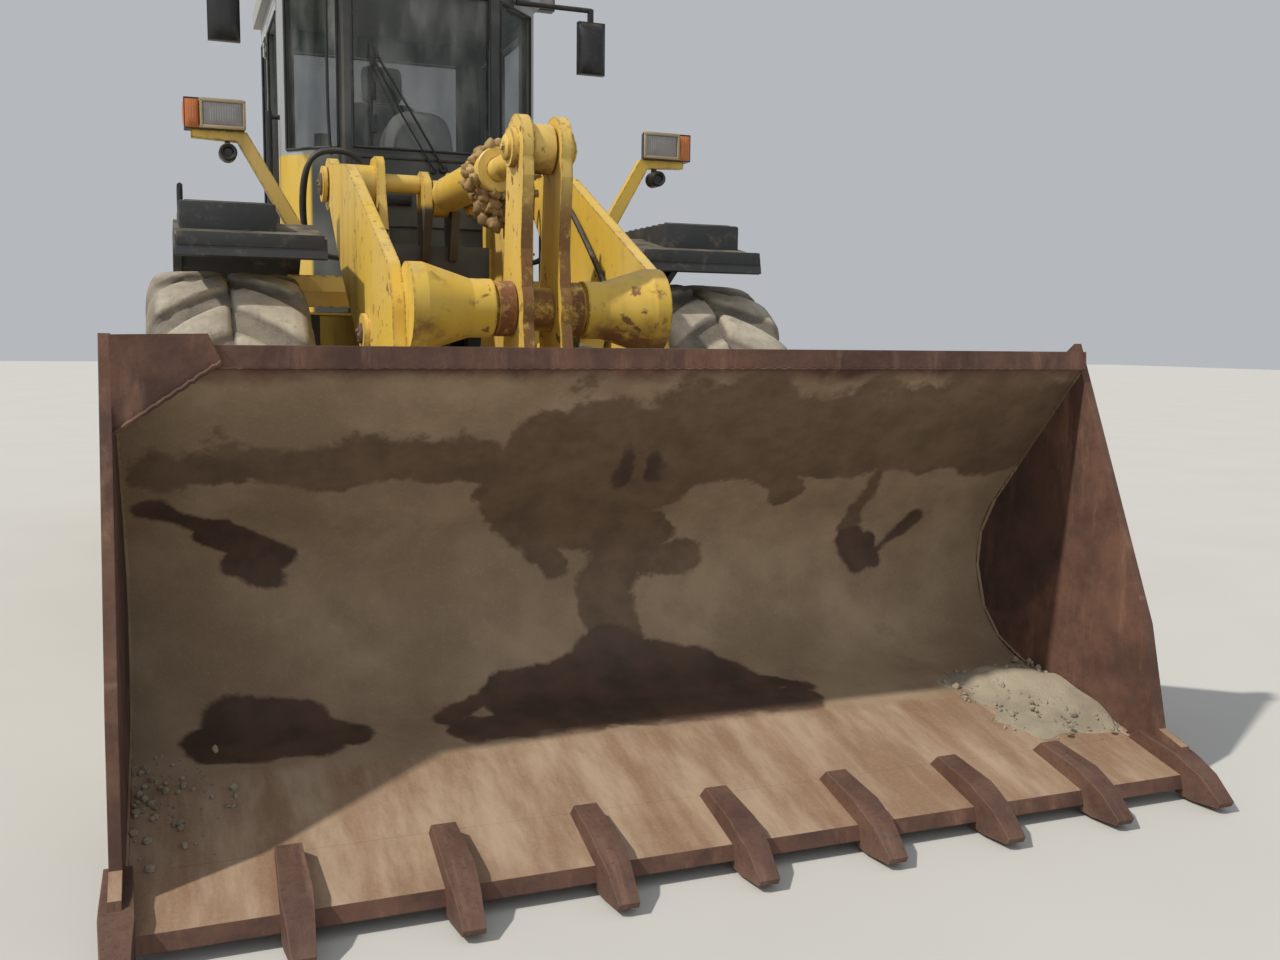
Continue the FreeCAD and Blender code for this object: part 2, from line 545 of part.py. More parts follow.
arm_tip = rod("x", ("bucket_pin_y", "bucket_pin_z"), "arm_end_radius", arm_x)
lift_boss = rod("x", ("lift_eye_y", "lift_eye_z"), "lift_eye_radius",
                ("arm_centre + arm_plate / 2 - 5", "arm_centre + arm_plate / 2 + 26"))
arm = cut(fuse(arm_sheet, arm_root, arm_tip, lift_boss),
          rod("x", ("boom_pin_y", "boom_pin_z"), "boom_pin_radius + pin_clearance",
              ("0", "arm_centre + 200")),
          rod("x", ("bucket_pin_y", "bucket_pin_z"), "bucket_pin_radius + pin_clearance",
              ("0", "arm_centre + 200")))
hub_end = "lever_gap + lever_plate + running_gap"
beam_profile = [
    ("0", "0"), ("journal_radius", "0"), ("journal_radius", hub_end), ("collar_radius", hub_end),
    ("collar_radius", f"{hub_end} + collar_width"), ("journal_radius + 4", f"{hub_end} + collar_width"),
    ("journal_radius + 4", f"{hub_end} + collar_width + 14"),
    ("beam_radius", f"{hub_end} + collar_width + 14"),
    ("beam_radius", "arm_centre - arm_plate / 2 - 250"),
    ("beam_radius + beam_flare", "arm_centre - arm_plate / 2 - 60"),
    ("beam_radius + beam_flare", "arm_centre - arm_plate / 2 + 1"),
    ("0", "arm_centre - arm_plate / 2 + 1"),
]
beam = turned(beam_profile, "x", ("lever_pin_y", "lever_pin_z"))
node("boom", fuse(arm, mirrored(arm), beam, mirrored(beam)))

# Lever: two deep plates on the beam's journals, joined low down by a web
lever_x = ("lever_gap", "lever_gap + lever_plate")
LEVER = [
    ("lever_top_y - 112", "lever_top_z + 60"), ("lever_top_y + 112", "lever_top_z + 60"),
    ("lever_top_y + 128", "lever_top_z - 160"), ("lever_pin_y + 120", "lever_pin_z + 235"),
    ("lever_pin_y + 160", "lever_pin_z - 60"), ("lever_pin_y + 60", "lever_pin_z - 420"),
    ("lever_foot_y + 92", "lever_foot_z + 20"), ("lever_foot_y - 92", "lever_foot_z - 20"),
    ("lever_pin_y - 240", "lever_pin_z - 420"), ("lever_pin_y - 165", "lever_pin_z - 60"),
    ("lever_pin_y - 135", "lever_pin_z + 235"), ("lever_top_y - 128", "lever_top_z - 120"),
]
lever_sheet = plate("yz", LEVER, lever_x)
lever_top = rod("x", ("lever_top_y", "lever_top_z"), "lever_top_radius", lever_x)
lever_cap = rod("x", ("lever_top_y", "lever_top_z"), "lever_top_radius - 52",
                ("lever_gap + lever_plate - 2", "lever_gap + lever_plate + 26"))
lever_hub = rod("x", ("lever_pin_y", "lever_pin_z"), "lever_hub_radius", lever_x)
lever_foot = rod("x", ("lever_foot_y", "lever_foot_z"), "lever_foot_radius", lever_x)
lever_half = cut(fuse(lever_sheet, lever_top, lever_cap, lever_hub, lever_foot),
                 rod("x", ("lever_pin_y", "lever_pin_z"), "journal_radius + pin_clearance",
                     ("0", "lever_gap + lever_plate + 60")))
lever_web = box(("-lever_gap - 5", "lever_gap + 5"), ("lever_pin_y - 130", "lever_pin_y - 60"),
                ("lever_pin_z - 640", "lever_pin_z - 260"))
foot_pin = rod("x", ("lever_foot_y", "lever_foot_z"), "link_pin_radius", ("-lever_gap - 5", "lever_gap + 5"))
node("lever", fuse(lever_half, mirrored(lever_half), lever_web, foot_pin))

# Link from the lever's foot to the bucket
link_x = ("-link_width / 2", "link_width / 2")
link_bar = plate("yz", [("link_eye_y", "link_eye_z - link_depth / 2"),
                        ("lever_foot_y", "lever_foot_z - link_depth / 2"),
                        ("lever_foot_y", "lever_foot_z + link_depth / 2"),
                        ("link_eye_y", "link_eye_z + link_depth / 2")],
                 ("-link_width / 2 + 20", "link_width / 2 - 20"))
link_eyes = [rod("x", place, "link_radius", link_x)
             for place in (("lever_foot_y", "lever_foot_z"), ("link_eye_y", "link_eye_z"))]
node("bucket_link", cut(fuse(link_bar, *link_eyes),
                        rod("x", ("lever_foot_y", "lever_foot_z"), "link_pin_radius + pin_clearance",
                            ("-lever_gap", "lever_gap"))))


def cylinder(base, eye, line, sizes_of, pin):
    """A hydraulic cylinder in the yz plane as barrel and rod, built along +Z and then laid in place."""
    barrel_radius, rod_radius, eye_radius, start, length, half, retraction = sizes_of
    angle = f"atan2(({eye[1]}) - ({base[1]}); ({base[0]}) - ({eye[0]}))"
    reach = f"sqrt((({eye[1]}) - ({base[1]}))^2 + (({base[0]}) - ({eye[0]}))^2)"
    end = f"({start}) + ({length})"
    barrel = [
        ("0", "0"), (f"({barrel_radius}) * 0.5", "0"), (f"({barrel_radius}) * 0.5", start),
        (barrel_radius, f"({start}) + 6"), (barrel_radius, f"({end}) - 130"),
        (f"({barrel_radius}) * 1.12", f"({end}) - 124"), (f"({barrel_radius}) * 1.12", f"({end}) - 6"),
        (f"({barrel_radius}) * 1.05", end), (f"({rod_radius}) + bore_clearance", end),
        (f"({rod_radius}) + bore_clearance", f"({start}) + barrel_head"), ("0", f"({start}) + barrel_head"),
    ]
    shell = along_yz(turned(barrel, "z", (line, "0")), base[0], base[1], angle)
    eye_tube = rod("x", base, eye_radius, (f"({line}) - ({half})", f"({line}) + ({half})"))
    bore = rod("x", base, f"({pin}) + pin_clearance",
               (f"({line}) - ({half}) - 20", f"({line}) + ({half}) + 20"))
    inner_end = f"({start}) + barrel_head + {retraction} + 5"
    rod_bar = turned([("0", inner_end), (rod_radius, inner_end), (rod_radius, f"({reach}) - 24"),
                      ("0", f"({reach}) - 24")], "z", (line, "0"))
    rod_bar = along_yz(rod_bar, base[0], base[1], angle)
    rod_eye = rod("x", eye, eye_radius, (f"({line}) - ({half})", f"({line}) + ({half})"))
    return cut(fuse(shell, eye_tube), bore), fuse(rod_bar, rod_eye)


lift_barrel, lift_rod = cylinder(("lift_pin_y", "lift_pin_z"), ("lift_eye_y", "lift_eye_z"), "lift_line",
                                 ("lift_barrel_radius", "lift_rod_radius", "lift_eye_radius",
                                  "lift_eye_radius + 20",
                                  "lift_barrel_length - lift_eye_radius - 20", "lift_eye_half",
                                  "lift_retraction"),
                                 "lift_pin_radius")
side_pair("lift_barrel", lift_barrel)
lift_eye_pin = rod("x", ("lift_eye_y", "lift_eye_z"), "lift_pin_radius",
                   ("lift_line", "arm_centre - arm_plate / 2 - running_gap"))
side_pair("lift_rod", fuse(lift_rod, lift_eye_pin))
tilt_barrel, tilt_rod = cylinder(("tilt_pin_y", "tilt_pin_z"), ("lever_top_y", "lever_top_z"), "0",
                                 ("tilt_barrel_radius", "tilt_rod_radius", "tilt_eye_radius",
                                  "tilt_barrel_start",
                                  "tilt_barrel_length", "tilt_eye_half", "tilt_retraction"),
                                 "tilt_pin_radius")
node("tilt_barrel", tilt_barrel)
node("tilt_rod", tilt_rod)


def steer_cylinder():
    """The left steering cylinder, level, from the rear frame's ear to the front frame's."""
    base, eye = ("steer_base_x", "steer_base_y"), ("steer_eye_x", "steer_eye_y")
    angle = "atan2(steer_eye_x - steer_base_x; steer_base_y - steer_eye_y)"
    reach = "sqrt((steer_eye_x - steer_base_x)^2 + (steer_base_y - steer_eye_y)^2)"
    end = "steer_eye_radius + steer_barrel_length"
    head = "steer_eye_radius + barrel_head"
    barrel = turned([
        ("0", "0"), ("steer_barrel_radius * 0.5", "0"),
        ("steer_barrel_radius * 0.5", "steer_eye_radius + 10"),
        ("steer_barrel_radius", "steer_eye_radius + 14"), ("steer_barrel_radius", f"{end} - 70"),
        ("steer_barrel_radius * 1.15", f"{end} - 66"), ("steer_barrel_radius * 1.15", end),
        ("steer_rod_radius + bore_clearance", end), ("steer_rod_radius + bore_clearance", head),
        ("0", head)], "z", ("0", "0"))
    bar = turned([("0", f"{head} + steer_retraction"), ("steer_rod_radius", f"{head} + steer_retraction"),
                  ("steer_rod_radius", f"({reach}) - 20"), ("0", f"({reach}) - 20")], "z", ("0", "0"))
    laid = []
    for part in (barrel, bar):
        holder = doc.addObject("Part::Compound", fresh("laid"))
        holder.Links = [part]
        part.Placement = Placement(Vector(), Rotation(Vector(1, 0, 0), 90))
        holder.Placement = Placement(Vector(), Rotation(Vector(0, 0, 1), 10))
        bind(holder, Placement__Rotation__Angle=angle, Placement__Base__x=base[0], Placement__Base__y=base[1],
             Placement__Base__z="steer_line_z")
        laid.append(holder)
    span = ("steer_line_z - steer_eye_half", "steer_line_z + steer_eye_half")
    bore = rod("z", base, "steer_pin_radius + pin_clearance", ("steer_line_z - 100", "steer_line_z + 100"))
    return (cut(fuse(laid[0], rod("z", base, "steer_eye_radius", span)), bore),
            fuse(laid[1], rod("z", eye, "steer_eye_radius", span)))


steer_barrel, steer_rod = steer_cylinder()
side_pair("steer_barrel", steer_barrel)
side_pair("steer_rod", steer_rod)

# Bucket: bent skin, side plates, top lip, hinge ears, link brackets and the patched corner
half_inside = "(bucket_half - side_plate)"
SLOPE = "(heel_z - edge_z) / (heel_y - edge_y)"
weld_y = "edge_y + 250"
weld_z = f"edge_z + 250 * {SLOPE}"
HEEL_OUT = ("heel_y + skin_plate * 1.88", "heel_z - skin_plate * 0.64")
LIP_OUT = ("lip_y + skin_plate * 0.75", "lip_z + skin_plate * 0.66")
skin = plate("yz", [(weld_y, f"{weld_z} - skin_plate"), (weld_y, weld_z), ("heel_y", "heel_z"),
                    ("lip_y", "lip_z"),
                    LIP_OUT, HEEL_OUT],
             (f"-{half_inside}", half_inside), ((5, "heel_radius + skin_plate"), (2, "heel_radius")))
hollow = plate("yz", [("edge_y - 200", f"edge_z - 200 * {SLOPE}"), ("heel_y", "heel_z"),
                      ("lip_y - 1000", f"lip_z + 1000 * (lip_z - heel_z) / (heel_y - lip_y)")],
               ("-bucket_half", "bucket_half"), ((1, "heel_radius"),))
SIDE = [
    ("lip_y + 52", "lip_z + lip_band + 28"), ("lip_y - 355", "lip_z - 831"), ("edge_y + 138", "edge_z + 110"),
    ("edge_y + 40", "edge_z + 80"), ("edge_y + 12", f"edge_z + 12 * {SLOPE}"), (weld_y, weld_z),
    (weld_y, f"{weld_z} - skin_plate"), HEEL_OUT, ("lip_y + 130", "lip_z - 70"),
    ("lip_y + 90", "lip_z + lip_band"),
]
side = plate("yz", SIDE, (half_inside, "bucket_half"), ((7, "heel_radius + skin_plate"),))
lip = plate("yz", [("lip_y - 12", "lip_z"), ("lip_y - 8", "lip_z + lip_band"),
                   ("lip_y + lip_depth", "lip_z + lip_band"),
                   ("lip_y + lip_depth + 40", "lip_z - 60"), LIP_OUT, ("lip_y", "lip_z - 4")],
            (f"-{half_inside} - 1", f"{half_inside} + 1"))


def ear(inner, outer):
    """A hinge ear on the bucket's back, trimmed to the skin."""
    sheet_part = plate("yz", [("heel_y - 560", "heel_z - 170"),
                              ("bucket_pin_y + 20", "bucket_pin_z - ear_radius"),
                              ("bucket_pin_y + 110", "bucket_pin_z + 60"),
                              ("bucket_pin_y - 150", "bucket_pin_z + 500"),
                              ("heel_y - 420", "heel_z + 640"), ("heel_y - 520", "heel_z + 300")],
                       (inner, outer), ((3, "200"),))
    eye = rod("x", ("bucket_pin_y", "bucket_pin_z"), "ear_radius", (inner, outer))
    return fuse(sheet_part, eye)


inner_ear = ear("arm_centre - arm_plate / 2 - ear_gap - ear_plate", "arm_centre - arm_plate / 2 - ear_gap")
outer_ear = ear("arm_centre + arm_plate / 2 + ear_gap", "arm_centre + arm_plate / 2 + ear_gap + ear_plate")
bucket_pin = rod("x", ("bucket_pin_y", "bucket_pin_z"), "bucket_pin_radius",
                 ("arm_centre - arm_plate / 2 - ear_gap - 10", "arm_centre + arm_plate / 2 + ear_gap + 10"))
bracket = fuse(
    plate("yz", [("heel_y - 330", "heel_z + 40"), ("link_eye_y + 60", "link_eye_z - bracket_radius"),
                 ("link_eye_y + 20", "link_eye_z + bracket_radius"), ("heel_y - 440", "heel_z + 660"),
                 ("heel_y - 520", "heel_z + 500"), ("heel_y - 450", "heel_z + 150")],
          ("link_width / 2 + running_gap", "link_width / 2 + running_gap + bracket_plate"), ((3, "60"),)),
    rod("x", ("link_eye_y", "link_eye_z"), "bracket_radius",
        ("link_width / 2 + running_gap", "link_width / 2 + running_gap + bracket_plate")))
carriers = cut(fuse(inner_ear, outer_ear, bucket_pin, bracket), hollow)
corner_patch = plate("xz", [(f"-{half_inside} - 2", "lip_z - 175"),
                            (f"-{half_inside} - 2", "lip_z + lip_band + 25"),
                            ("-bucket_half + corner_gusset_width - 34", "lip_z + lip_band + 30"),
                            ("-bucket_half + corner_gusset_width", "lip_z + 12")],
                     ("-lip_y + 5", "-lip_y + 30"))
node("bucket_shell", fuse(skin, side, mirrored(side), lip, carriers, mirrored(carriers), corner_patch))

edge = plate("yz", [("edge_y", "edge_z - edge_plate"), ("edge_y + 12", f"edge_z + 12 * {SLOPE}"),
                    (weld_y, weld_z),
                    (weld_y, f"{weld_z} - edge_plate + 2")], ("-bucket_half", "bucket_half"))
node("cutting_edge", edge)


def tooth(place):
    """One worn tooth with its adapter, seated over the cutting edge."""
    side_view = plate("yz", [("edge_y + tooth_tail", f"edge_z + tooth_tail * {SLOPE}"),
                             ("edge_y + tooth_tail - 40",
                              f"edge_z + tooth_tail * {SLOPE} + tooth_height * 0.6"),
                             ("edge_y + 40", "edge_z + tooth_height"),
                             ("edge_y - 60", "edge_z + tooth_height * 0.35"),
                             ("edge_y - tooth_reach", "edge_z - 40"),
                             ("edge_y - tooth_reach + 10", "edge_z - 58"),
                             ("edge_y - 30", "edge_z - 66"), ("edge_y + 60", "edge_z - edge_plate - 14"),
                             ("edge_y + 75", "edge_z - 8")],
                      (f"{place} - tooth_width / 2", f"{place} + tooth_width / 2"))
    top_view = plate("xy", [(f"{place} - tooth_width / 2", "edge_y + 10"),
                            (f"{place} - tooth_width * 0.36", "edge_y - tooth_reach"),
                            (f"{place} + tooth_width * 0.36", "edge_y - tooth_reach"),
                            (f"{place} + tooth_width / 2", "edge_y + 10"),
                            (f"{place} + tooth_width * 0.4", "edge_y + tooth_tail"),
                            (f"{place} - tooth_width * 0.4", "edge_y + tooth_tail")],
                     ("edge_z - 90", "edge_z + 200"))
    shared = doc.addObject("Part::MultiCommon", fresh("common"))
    shared.Shapes = [side_view, top_view]
    return cut(shared, edge, side, far_side)


far_side = mirrored(side)
pitch = "(2 * bucket_half - 35) / (tooth_count - 1)"
beside_middle = int(size("tooth_count")) // 2
teeth = [tooth(f"({i} * {pitch})") for i in range(-beside_middle, beside_middle + 1)]
node("bucket_teeth", group(*teeth))

# Rear frame: rails, hinge jaws, bulkhead bands, cab cross beams and the hitch
rail = plate("yz", [("pivot_y + 330", "rail_bottom_z"), ("pivot_y + 330", "rail_top_z"),
                    ("weight_front + 259.7", "rail_top_z"), ("weight_front + 259.7", "rail_bottom_z - 60"),
                    (f"{REAR_AXLE} + 350", "rail_bottom_z - 60"), (f"{REAR_AXLE} + 260", "axle_seat_z"),
                    (f"{REAR_AXLE} - 260", "axle_seat_z"), (f"{REAR_AXLE} - 380", "rail_bottom_z")],
             ("rail_centre - rail_plate / 2", "rail_centre + rail_plate / 2"))
jaws = []
for lug_z in ("upper_lug_z", "lower_lug_z"):
    jaws += hinge_lug(f"{lug_z} + lug_plate / 2 + lug_gap", 1)
    jaws += hinge_lug(f"{lug_z} - lug_plate * 1.5 - lug_gap", 1)
hinge_pin = rod("z", ("0", "pivot_y"), "pivot_pin_radius", ("lower_lug_z - 130", "upper_lug_z + 130"))
rail_inside = "rail_centre - rail_plate / 2 + 5"
REAR_MEMBERS = [
    # y from, y to, z from, z to
    ("pivot_y + 430", "pivot_y + 490", "upper_lug_z - 100", "upper_lug_z + 135"),
    ("pivot_y + 430", "pivot_y + 490", "lower_lug_z - 100", "lower_lug_z + 130"),
    ("pivot_y + 1010", "pivot_y + 1060", "rail_bottom_z + 10", "rail_top_z - 10"),
    (f"{REAR_AXLE} - 200", f"{REAR_AXLE} + 200", "frame_bottom + 565", "frame_bottom + 625"),
    ("weight_front + 100", "weight_front + 150", "rail_bottom_z - 40", "rail_top_z + 20"),
]
rear_members = [box((f"-({rail_inside})", rail_inside), (y0, y1), (z0, z1))
                for y0, y1, z0, z1 in REAR_MEMBERS]
lower_skirt = box(("rail_centre - rail_plate / 2", "rail_centre + rail_plate / 2"),
                  ("pivot_y + 430", "pivot_y + 490"),
                  ("lower_lug_z - 100", "rail_bottom_z + 20"))
steer_ears_rear = [plate("xy", [("steer_base_x - 70", "pivot_y + 1015"),
                                ("steer_base_x - 50", "steer_base_y - 50"),
                                ("steer_base_x + 50", "steer_base_y - 50"),
                                ("steer_base_x + 70", "pivot_y + 1015")],
                         (z, f"({z}) + steer_ear_plate"), ((1, "40"), (2, "40")))
                   for z in STEER_EAR_PLACES]
steer_pin = rod("z", ("steer_base_x", "steer_base_y"), "steer_pin_radius",
                (STEER_EAR_PLACES[0], STEER_EAR_PLACES[1] + " + steer_ear_plate"))
cab_beam = [box(("rail_centre - 60", "cab_half - 20"), (y, f"{y} + 120"), ("rail_top_z - 100", "cab_floor_z"))
            for y in ("pivot_y + 340", "cab_back - 180")]
hood_rests = [box(("rail_centre", "hood_half"), (y, f"{y} + 100"), ("rail_top_z - 70", "rail_top_z"))
              for y in ("hood_front + 60", "hood_back - 480")]
rear_left = fuse(rail, lower_skirt, *steer_ears_rear, steer_pin, *cab_beam, *hood_rests)
node("rear_frame", fuse(rear_left, mirrored(rear_left), hinge_pin, *jaws, *rear_members))

# Counterweight with the hitch slot
weight_plan = [
    ("-weight_half", "weight_front"), ("-weight_half", "rear_end_y - 330"),
    ("-weight_half + 260", "rear_end_y - 40"),
    ("-300", "rear_end_y"), ("300", "rear_end_y"), ("weight_half - 260", "rear_end_y - 40"),
    ("weight_half", "rear_end_y - 330"), ("weight_half", "weight_front"),
    ("rail_centre + 40", "weight_front"),
    ("rail_centre + 40", "weight_front + 260"), ("-rail_centre - 40", "weight_front + 260"),
    ("-rail_centre - 40", "weight_front"),
]
weight = plate("xy", weight_plan, ("weight_bottom_z", "weight_top_z"),
               ((1, "200"), (2, "260"), (5, "260"), (6, "200")))
hitch = box(("-90", "90"), ("rear_end_y - 260", "rear_end_y + 20"),
            ("weight_bottom_z + 170", "weight_bottom_z + 290"))
hitch_hole = rod("z", ("0", "rear_end_y - 120"), "35", ("weight_bottom_z - 10", "weight_bottom_z + 350"))
hood_pocket = box(("-hood_half - 0.3", "hood_half + 0.3"), ("weight_front - 10", "hood_back + 0.3"),
                  ("hood_bottom_z - 0.3", "weight_top_z + 10"))
node("counterweight", cut(weight, hitch, hitch_hole, hood_pocket))

# Engine: one plain block at its real place and size
node("engine_block", box(("-420", "420"), ("hood_front + 250", "hood_front + 1650"),
                         ("frame_bottom + 625.3", "rail_top_z + 630")))


def hinge_knuckles(axis, at, places, fixed_leaf, moving_leaf):
    """Hinges along an axis: the fixed knuckles with pin and leaf, and the moving knuckles with leaf.

    at holds the axis' other two coordinates; each leaf is two spans across the axis.
    """
    fixed, moving = [], []
    for place in places:
        bands = [(f"{place} - 45", f"{place} - 16"), (f"{place} + 16", f"{place} + 45")]
        inner_band = (f"{place} - 15.5", f"{place} + 15.5")

        def leaf(spans, band):
            spans = list(spans)
            spans.insert("xyz".index(axis), band)
            return box(*spans)

        fixed += [rod(axis, at, "hinge_knuckle", band) for band in bands]
        fixed += [leaf(fixed_leaf, band) for band in bands]
        fixed.append(rod(axis, at, "hinge_pin", (f"{place} - 40", f"{place} + 40")))
        bore = rod(axis, at, "hinge_pin + pin_clearance", (f"{place} - 30", f"{place} + 30"))
        knuckle = rod(axis, at, "hinge_knuckle", inner_band)
        moving.append(cut(fuse(knuckle, leaf(moving_leaf, inner_band)), bore))
    return fixed, moving


# Hood: a hollow shell with side and rear openings, and its stacks
HOOD = [("-hood_half", "hood_bottom_z"), ("-hood_half", "hood_door_top_z"),
        ("-hood_half + 110", "hood_top_z"),
        ("hood_half - 110", "hood_top_z"), ("hood_half", "hood_door_top_z"), ("hood_half", "hood_bottom_z")]
hood_outer = plate("xz", HOOD, ("-hood_back", "-hood_front"))
hood_inner = plate("xz", [("-hood_half + hood_wall", "hood_bottom_z - 10"),
                          ("-hood_half + hood_wall", "hood_door_top_z"),
                          ("-hood_half + 150", "hood_top_z - hood_wall"),
                          ("hood_half - 150", "hood_top_z - hood_wall"),
                          ("hood_half - hood_wall", "hood_door_top_z"),
                          ("hood_half - hood_wall", "hood_bottom_z - 10")],
                   ("-hood_back + hood_wall", "-hood_front - hood_wall"))
side_opening = box(("-hood_half - 10", "hood_half + 10"), ("hood_door_front", "hood_door_back"),
                   ("hood_door_bottom_z", "hood_door_top_z"))
rear_opening = box(("-grille_half", "grille_half"), ("hood_back - 200", "hood_back + 20"),
                   ("grille_bottom_z", "grille_top_z"))
hood_fixed, hood_moving = hinge_knuckles(
    "y", ("hood_half + hinge_out", "hood_door_top_z - 3"), ("hood_door_front + 200", "hood_door_back - 200"),
    (("hood_half - 12", "hood_half + hinge_out"), ("hood_door_top_z + 1", "hood_door_top_z + 12")),
    (("hood_half - 1", "hood_half + 10"), ("hood_door_top_z - 50", "hood_door_top_z - 3")))
grille_fixed, grille_moving = hinge_knuckles(
    "z", ("grille_half - 3", "hood_back + hinge_out"), ("grille_bottom_z + 120", "grille_top_z - 120"),
    (("grille_half - 3", "grille_half + 40"), ("hood_back - 1", "hood_back + hinge_out")),
    (("grille_half - 50", "grille_half - 3"), ("hood_back - 1", "hood_back + 10")))
hood_shell = cut(hood_outer, hood_inner, side_opening, rear_opening)
node("hood", fuse(hood_shell, *hood_fixed, *[mirrored(p) for p in hood_fixed], *grille_fixed))

STACKS = [
    # x, y, radius, top above the hood
    ("-260", "hood_front + 900", "60", "560"), ("-260", "hood_front + 900", "95", "120"),
    ("280", "hood_front + 480", "75", "300"), ("280", "hood_front + 480", "80", "260"),
]
stacks = [rod("z", (x, y), r, ("hood_top_z", f"hood_top_z + {top}")) for x, y, r, top in STACKS]
cap = rod("z", ("280", "hood_front + 480"), "135", ("hood_top_z + 260", "hood_top_z + 420"))
node("exhaust_stacks", group(fuse(stacks[0], stacks[1]), fuse(stacks[2], cap)))

hood_door = box(("hood_half - hood_door_wall", "hood_half"),
                ("hood_door_front + door_gap", "hood_door_back - door_gap"),
                ("hood_door_bottom_z + door_gap", "hood_door_top_z - door_gap"))
louvres = [box(("hood_half - hood_door_wall - 5", "hood_half + 5"),
               (f"hood_door_front + {180 + 100 * i}", f"hood_door_front + {235 + 100 * i}"),
               ("hood_door_bottom_z + 70", "hood_door_top_z - 70")) for i in range(7)]
side_pair("hood_door", fuse(cut(hood_door, *louvres), *hood_moving))

grille = box(("-grille_half + door_gap", "grille_half - door_gap"), ("hood_back - grille_wall", "hood_back"),
             ("grille_bottom_z + door_gap", "grille_top_z - door_gap"))
slots = [box(("-grille_half + 60", "grille_half - 60"), ("hood_back - grille_wall - 5", "hood_back + 5"),
             (f"grille_bottom_z + {60 + 50 * i}", f"grille_bottom_z + {86 + 50 * i}")) for i in range(12)]
node("rear_grille", fuse(cut(grille, *slots), *grille_moving))

# Rear fenders and decks
def arc_points(radius, degrees):
    """Points about the rear wheel at a radius; 90 degrees is straight up and 0 is forward."""
    return [(f"{REAR_AXLE} - ({radius}) * cos({a} deg)", f"tyre_radius + ({radius}) * sin({a} deg)")
            for a in degrees]


steps_of_arc = (25, 51, 77, 103, 129, 155)
fender_arc = plate("yz", arc_points("tyre_radius + arch_gap + arch_wall", steps_of_arc)
                   + arc_points("tyre_radius + arch_gap", tuple(reversed(steps_of_arc))),
                   ("cab_half - 10", "arch_outer"))
arch_bracket = box(("hood_half", "cab_half"), (f"{REAR_AXLE} - 150", f"{REAR_AXLE} + 150"),
                   ("tyre_radius * 2 + arch_gap - 20", "tyre_radius * 2 + arch_gap"))
deck = box(("cab_half - 20", "deck_outer"), ("deck_front", "deck_back"), ("deck_z", "deck_z + deck_plate"))
node("rear_fenders", both(fuse(fender_arc, arch_bracket, deck)))

# Tanks beside the rails, under the decks, and the steps and rails outside them
tank_low = box(("rail_centre + rail_plate / 2", "tank_outer"), ("tank_front", "tank_back"),
               ("frame_bottom", "rail_top_z - 100"))
tank_high = box(("cab_half - 20", "tank_outer"), ("tank_front", "tank_back"), ("rail_top_z - 110", "deck_z"))
node("side_tanks", both(fuse(tank_low, tank_high)))
straps = [box(("tank_outer", "tank_outer + 22"), (f"tank_front + {at}", f"tank_front + {at + 14}"),
              ("400", "deck_z"))
          for at in (76, 400)]
treads = [box(("tank_outer", "deck_outer - 20"), ("tank_front + 76", "tank_front + 414"),
              (f"{z}", f"{z + 26}"))
          for z in (400, 760, 1120)]
posts = [rod("z", ("deck_outer - 30", y), "rail_tube", ("deck_z + deck_plate", "deck_z + 880"))
         for y in ("deck_back - 220", "deck_back - 40")]
top_bar = rod("y", ("deck_outer - 30", "deck_z + 880"), "rail_tube",
              ("deck_back - 220 - rail_tube", "deck_back - 40 + rail_tube"))
grab = rod("z", ("cab_half + 60", "cab_corner_y + 20"), "rail_tube",
           ("cab_floor_z + 100", "cab_floor_z + 1150"))
grab_ends = [rod("x", ("cab_corner_y + 20", z), "rail_tube * 0.8", ("cab_half", "cab_half + 60"))
             for z in ("cab_floor_z + 130", "cab_floor_z + 1120")]
node("steps_and_rails", both(group(fuse(*straps, *treads), fuse(*posts, top_bar), fuse(grab, *grab_ends))))

# Cab: hollow shell with the window and door openings cut
def cab_plan(inset):
    """Half-outline of the cab in plan, drawn in by an inset, closed by its mirror image."""
    right = [(f"cab_nose_half - ({inset}) * 0.4", f"cab_front + ({inset})"),
             (f"cab_half - ({inset})", f"cab_corner_y + ({inset}) * 0.4"),
             (f"cab_half - ({inset})", f"cab_back - ({inset})")]
    return right + [(f"-({x})", y) for x, y in reversed(right)]


cab_outer = plate("xy", cab_plan("0"), ("cab_floor_z", "cab_top_z"))
cab_inner = plate("xy", cab_plan("cab_wall"), ("cab_floor_z + cab_wall", "cab_top_z + 20"))
front_window = (("-cab_nose_half + 45", "cab_nose_half - 45"), ("cab_front - 40", "cab_front + 120"),
                ("sill_z", "window_top_z"))
corner_span = ("sill_z", "window_top_z")


def corner_quad(out, back):
    """A quadrilateral across the slanting corner wall between two distances from its outer face."""
    along = ("(cab_half - cab_nose_half)", "(cab_corner_y - cab_front)")
    wall = f"sqrt({along[0]}^2 + {along[1]}^2)"
    quad = []
    for share, depth in ((0.1, out), (0.9, out), (0.9, back), (0.1, back)):
        quad.append((f"cab_nose_half + {share} * {along[0]} + ({depth}) * {along[1]} / {wall}",
                     f"cab_front + {share} * {along[1]} - ({depth}) * {along[0]} / {wall}"))
    return quad


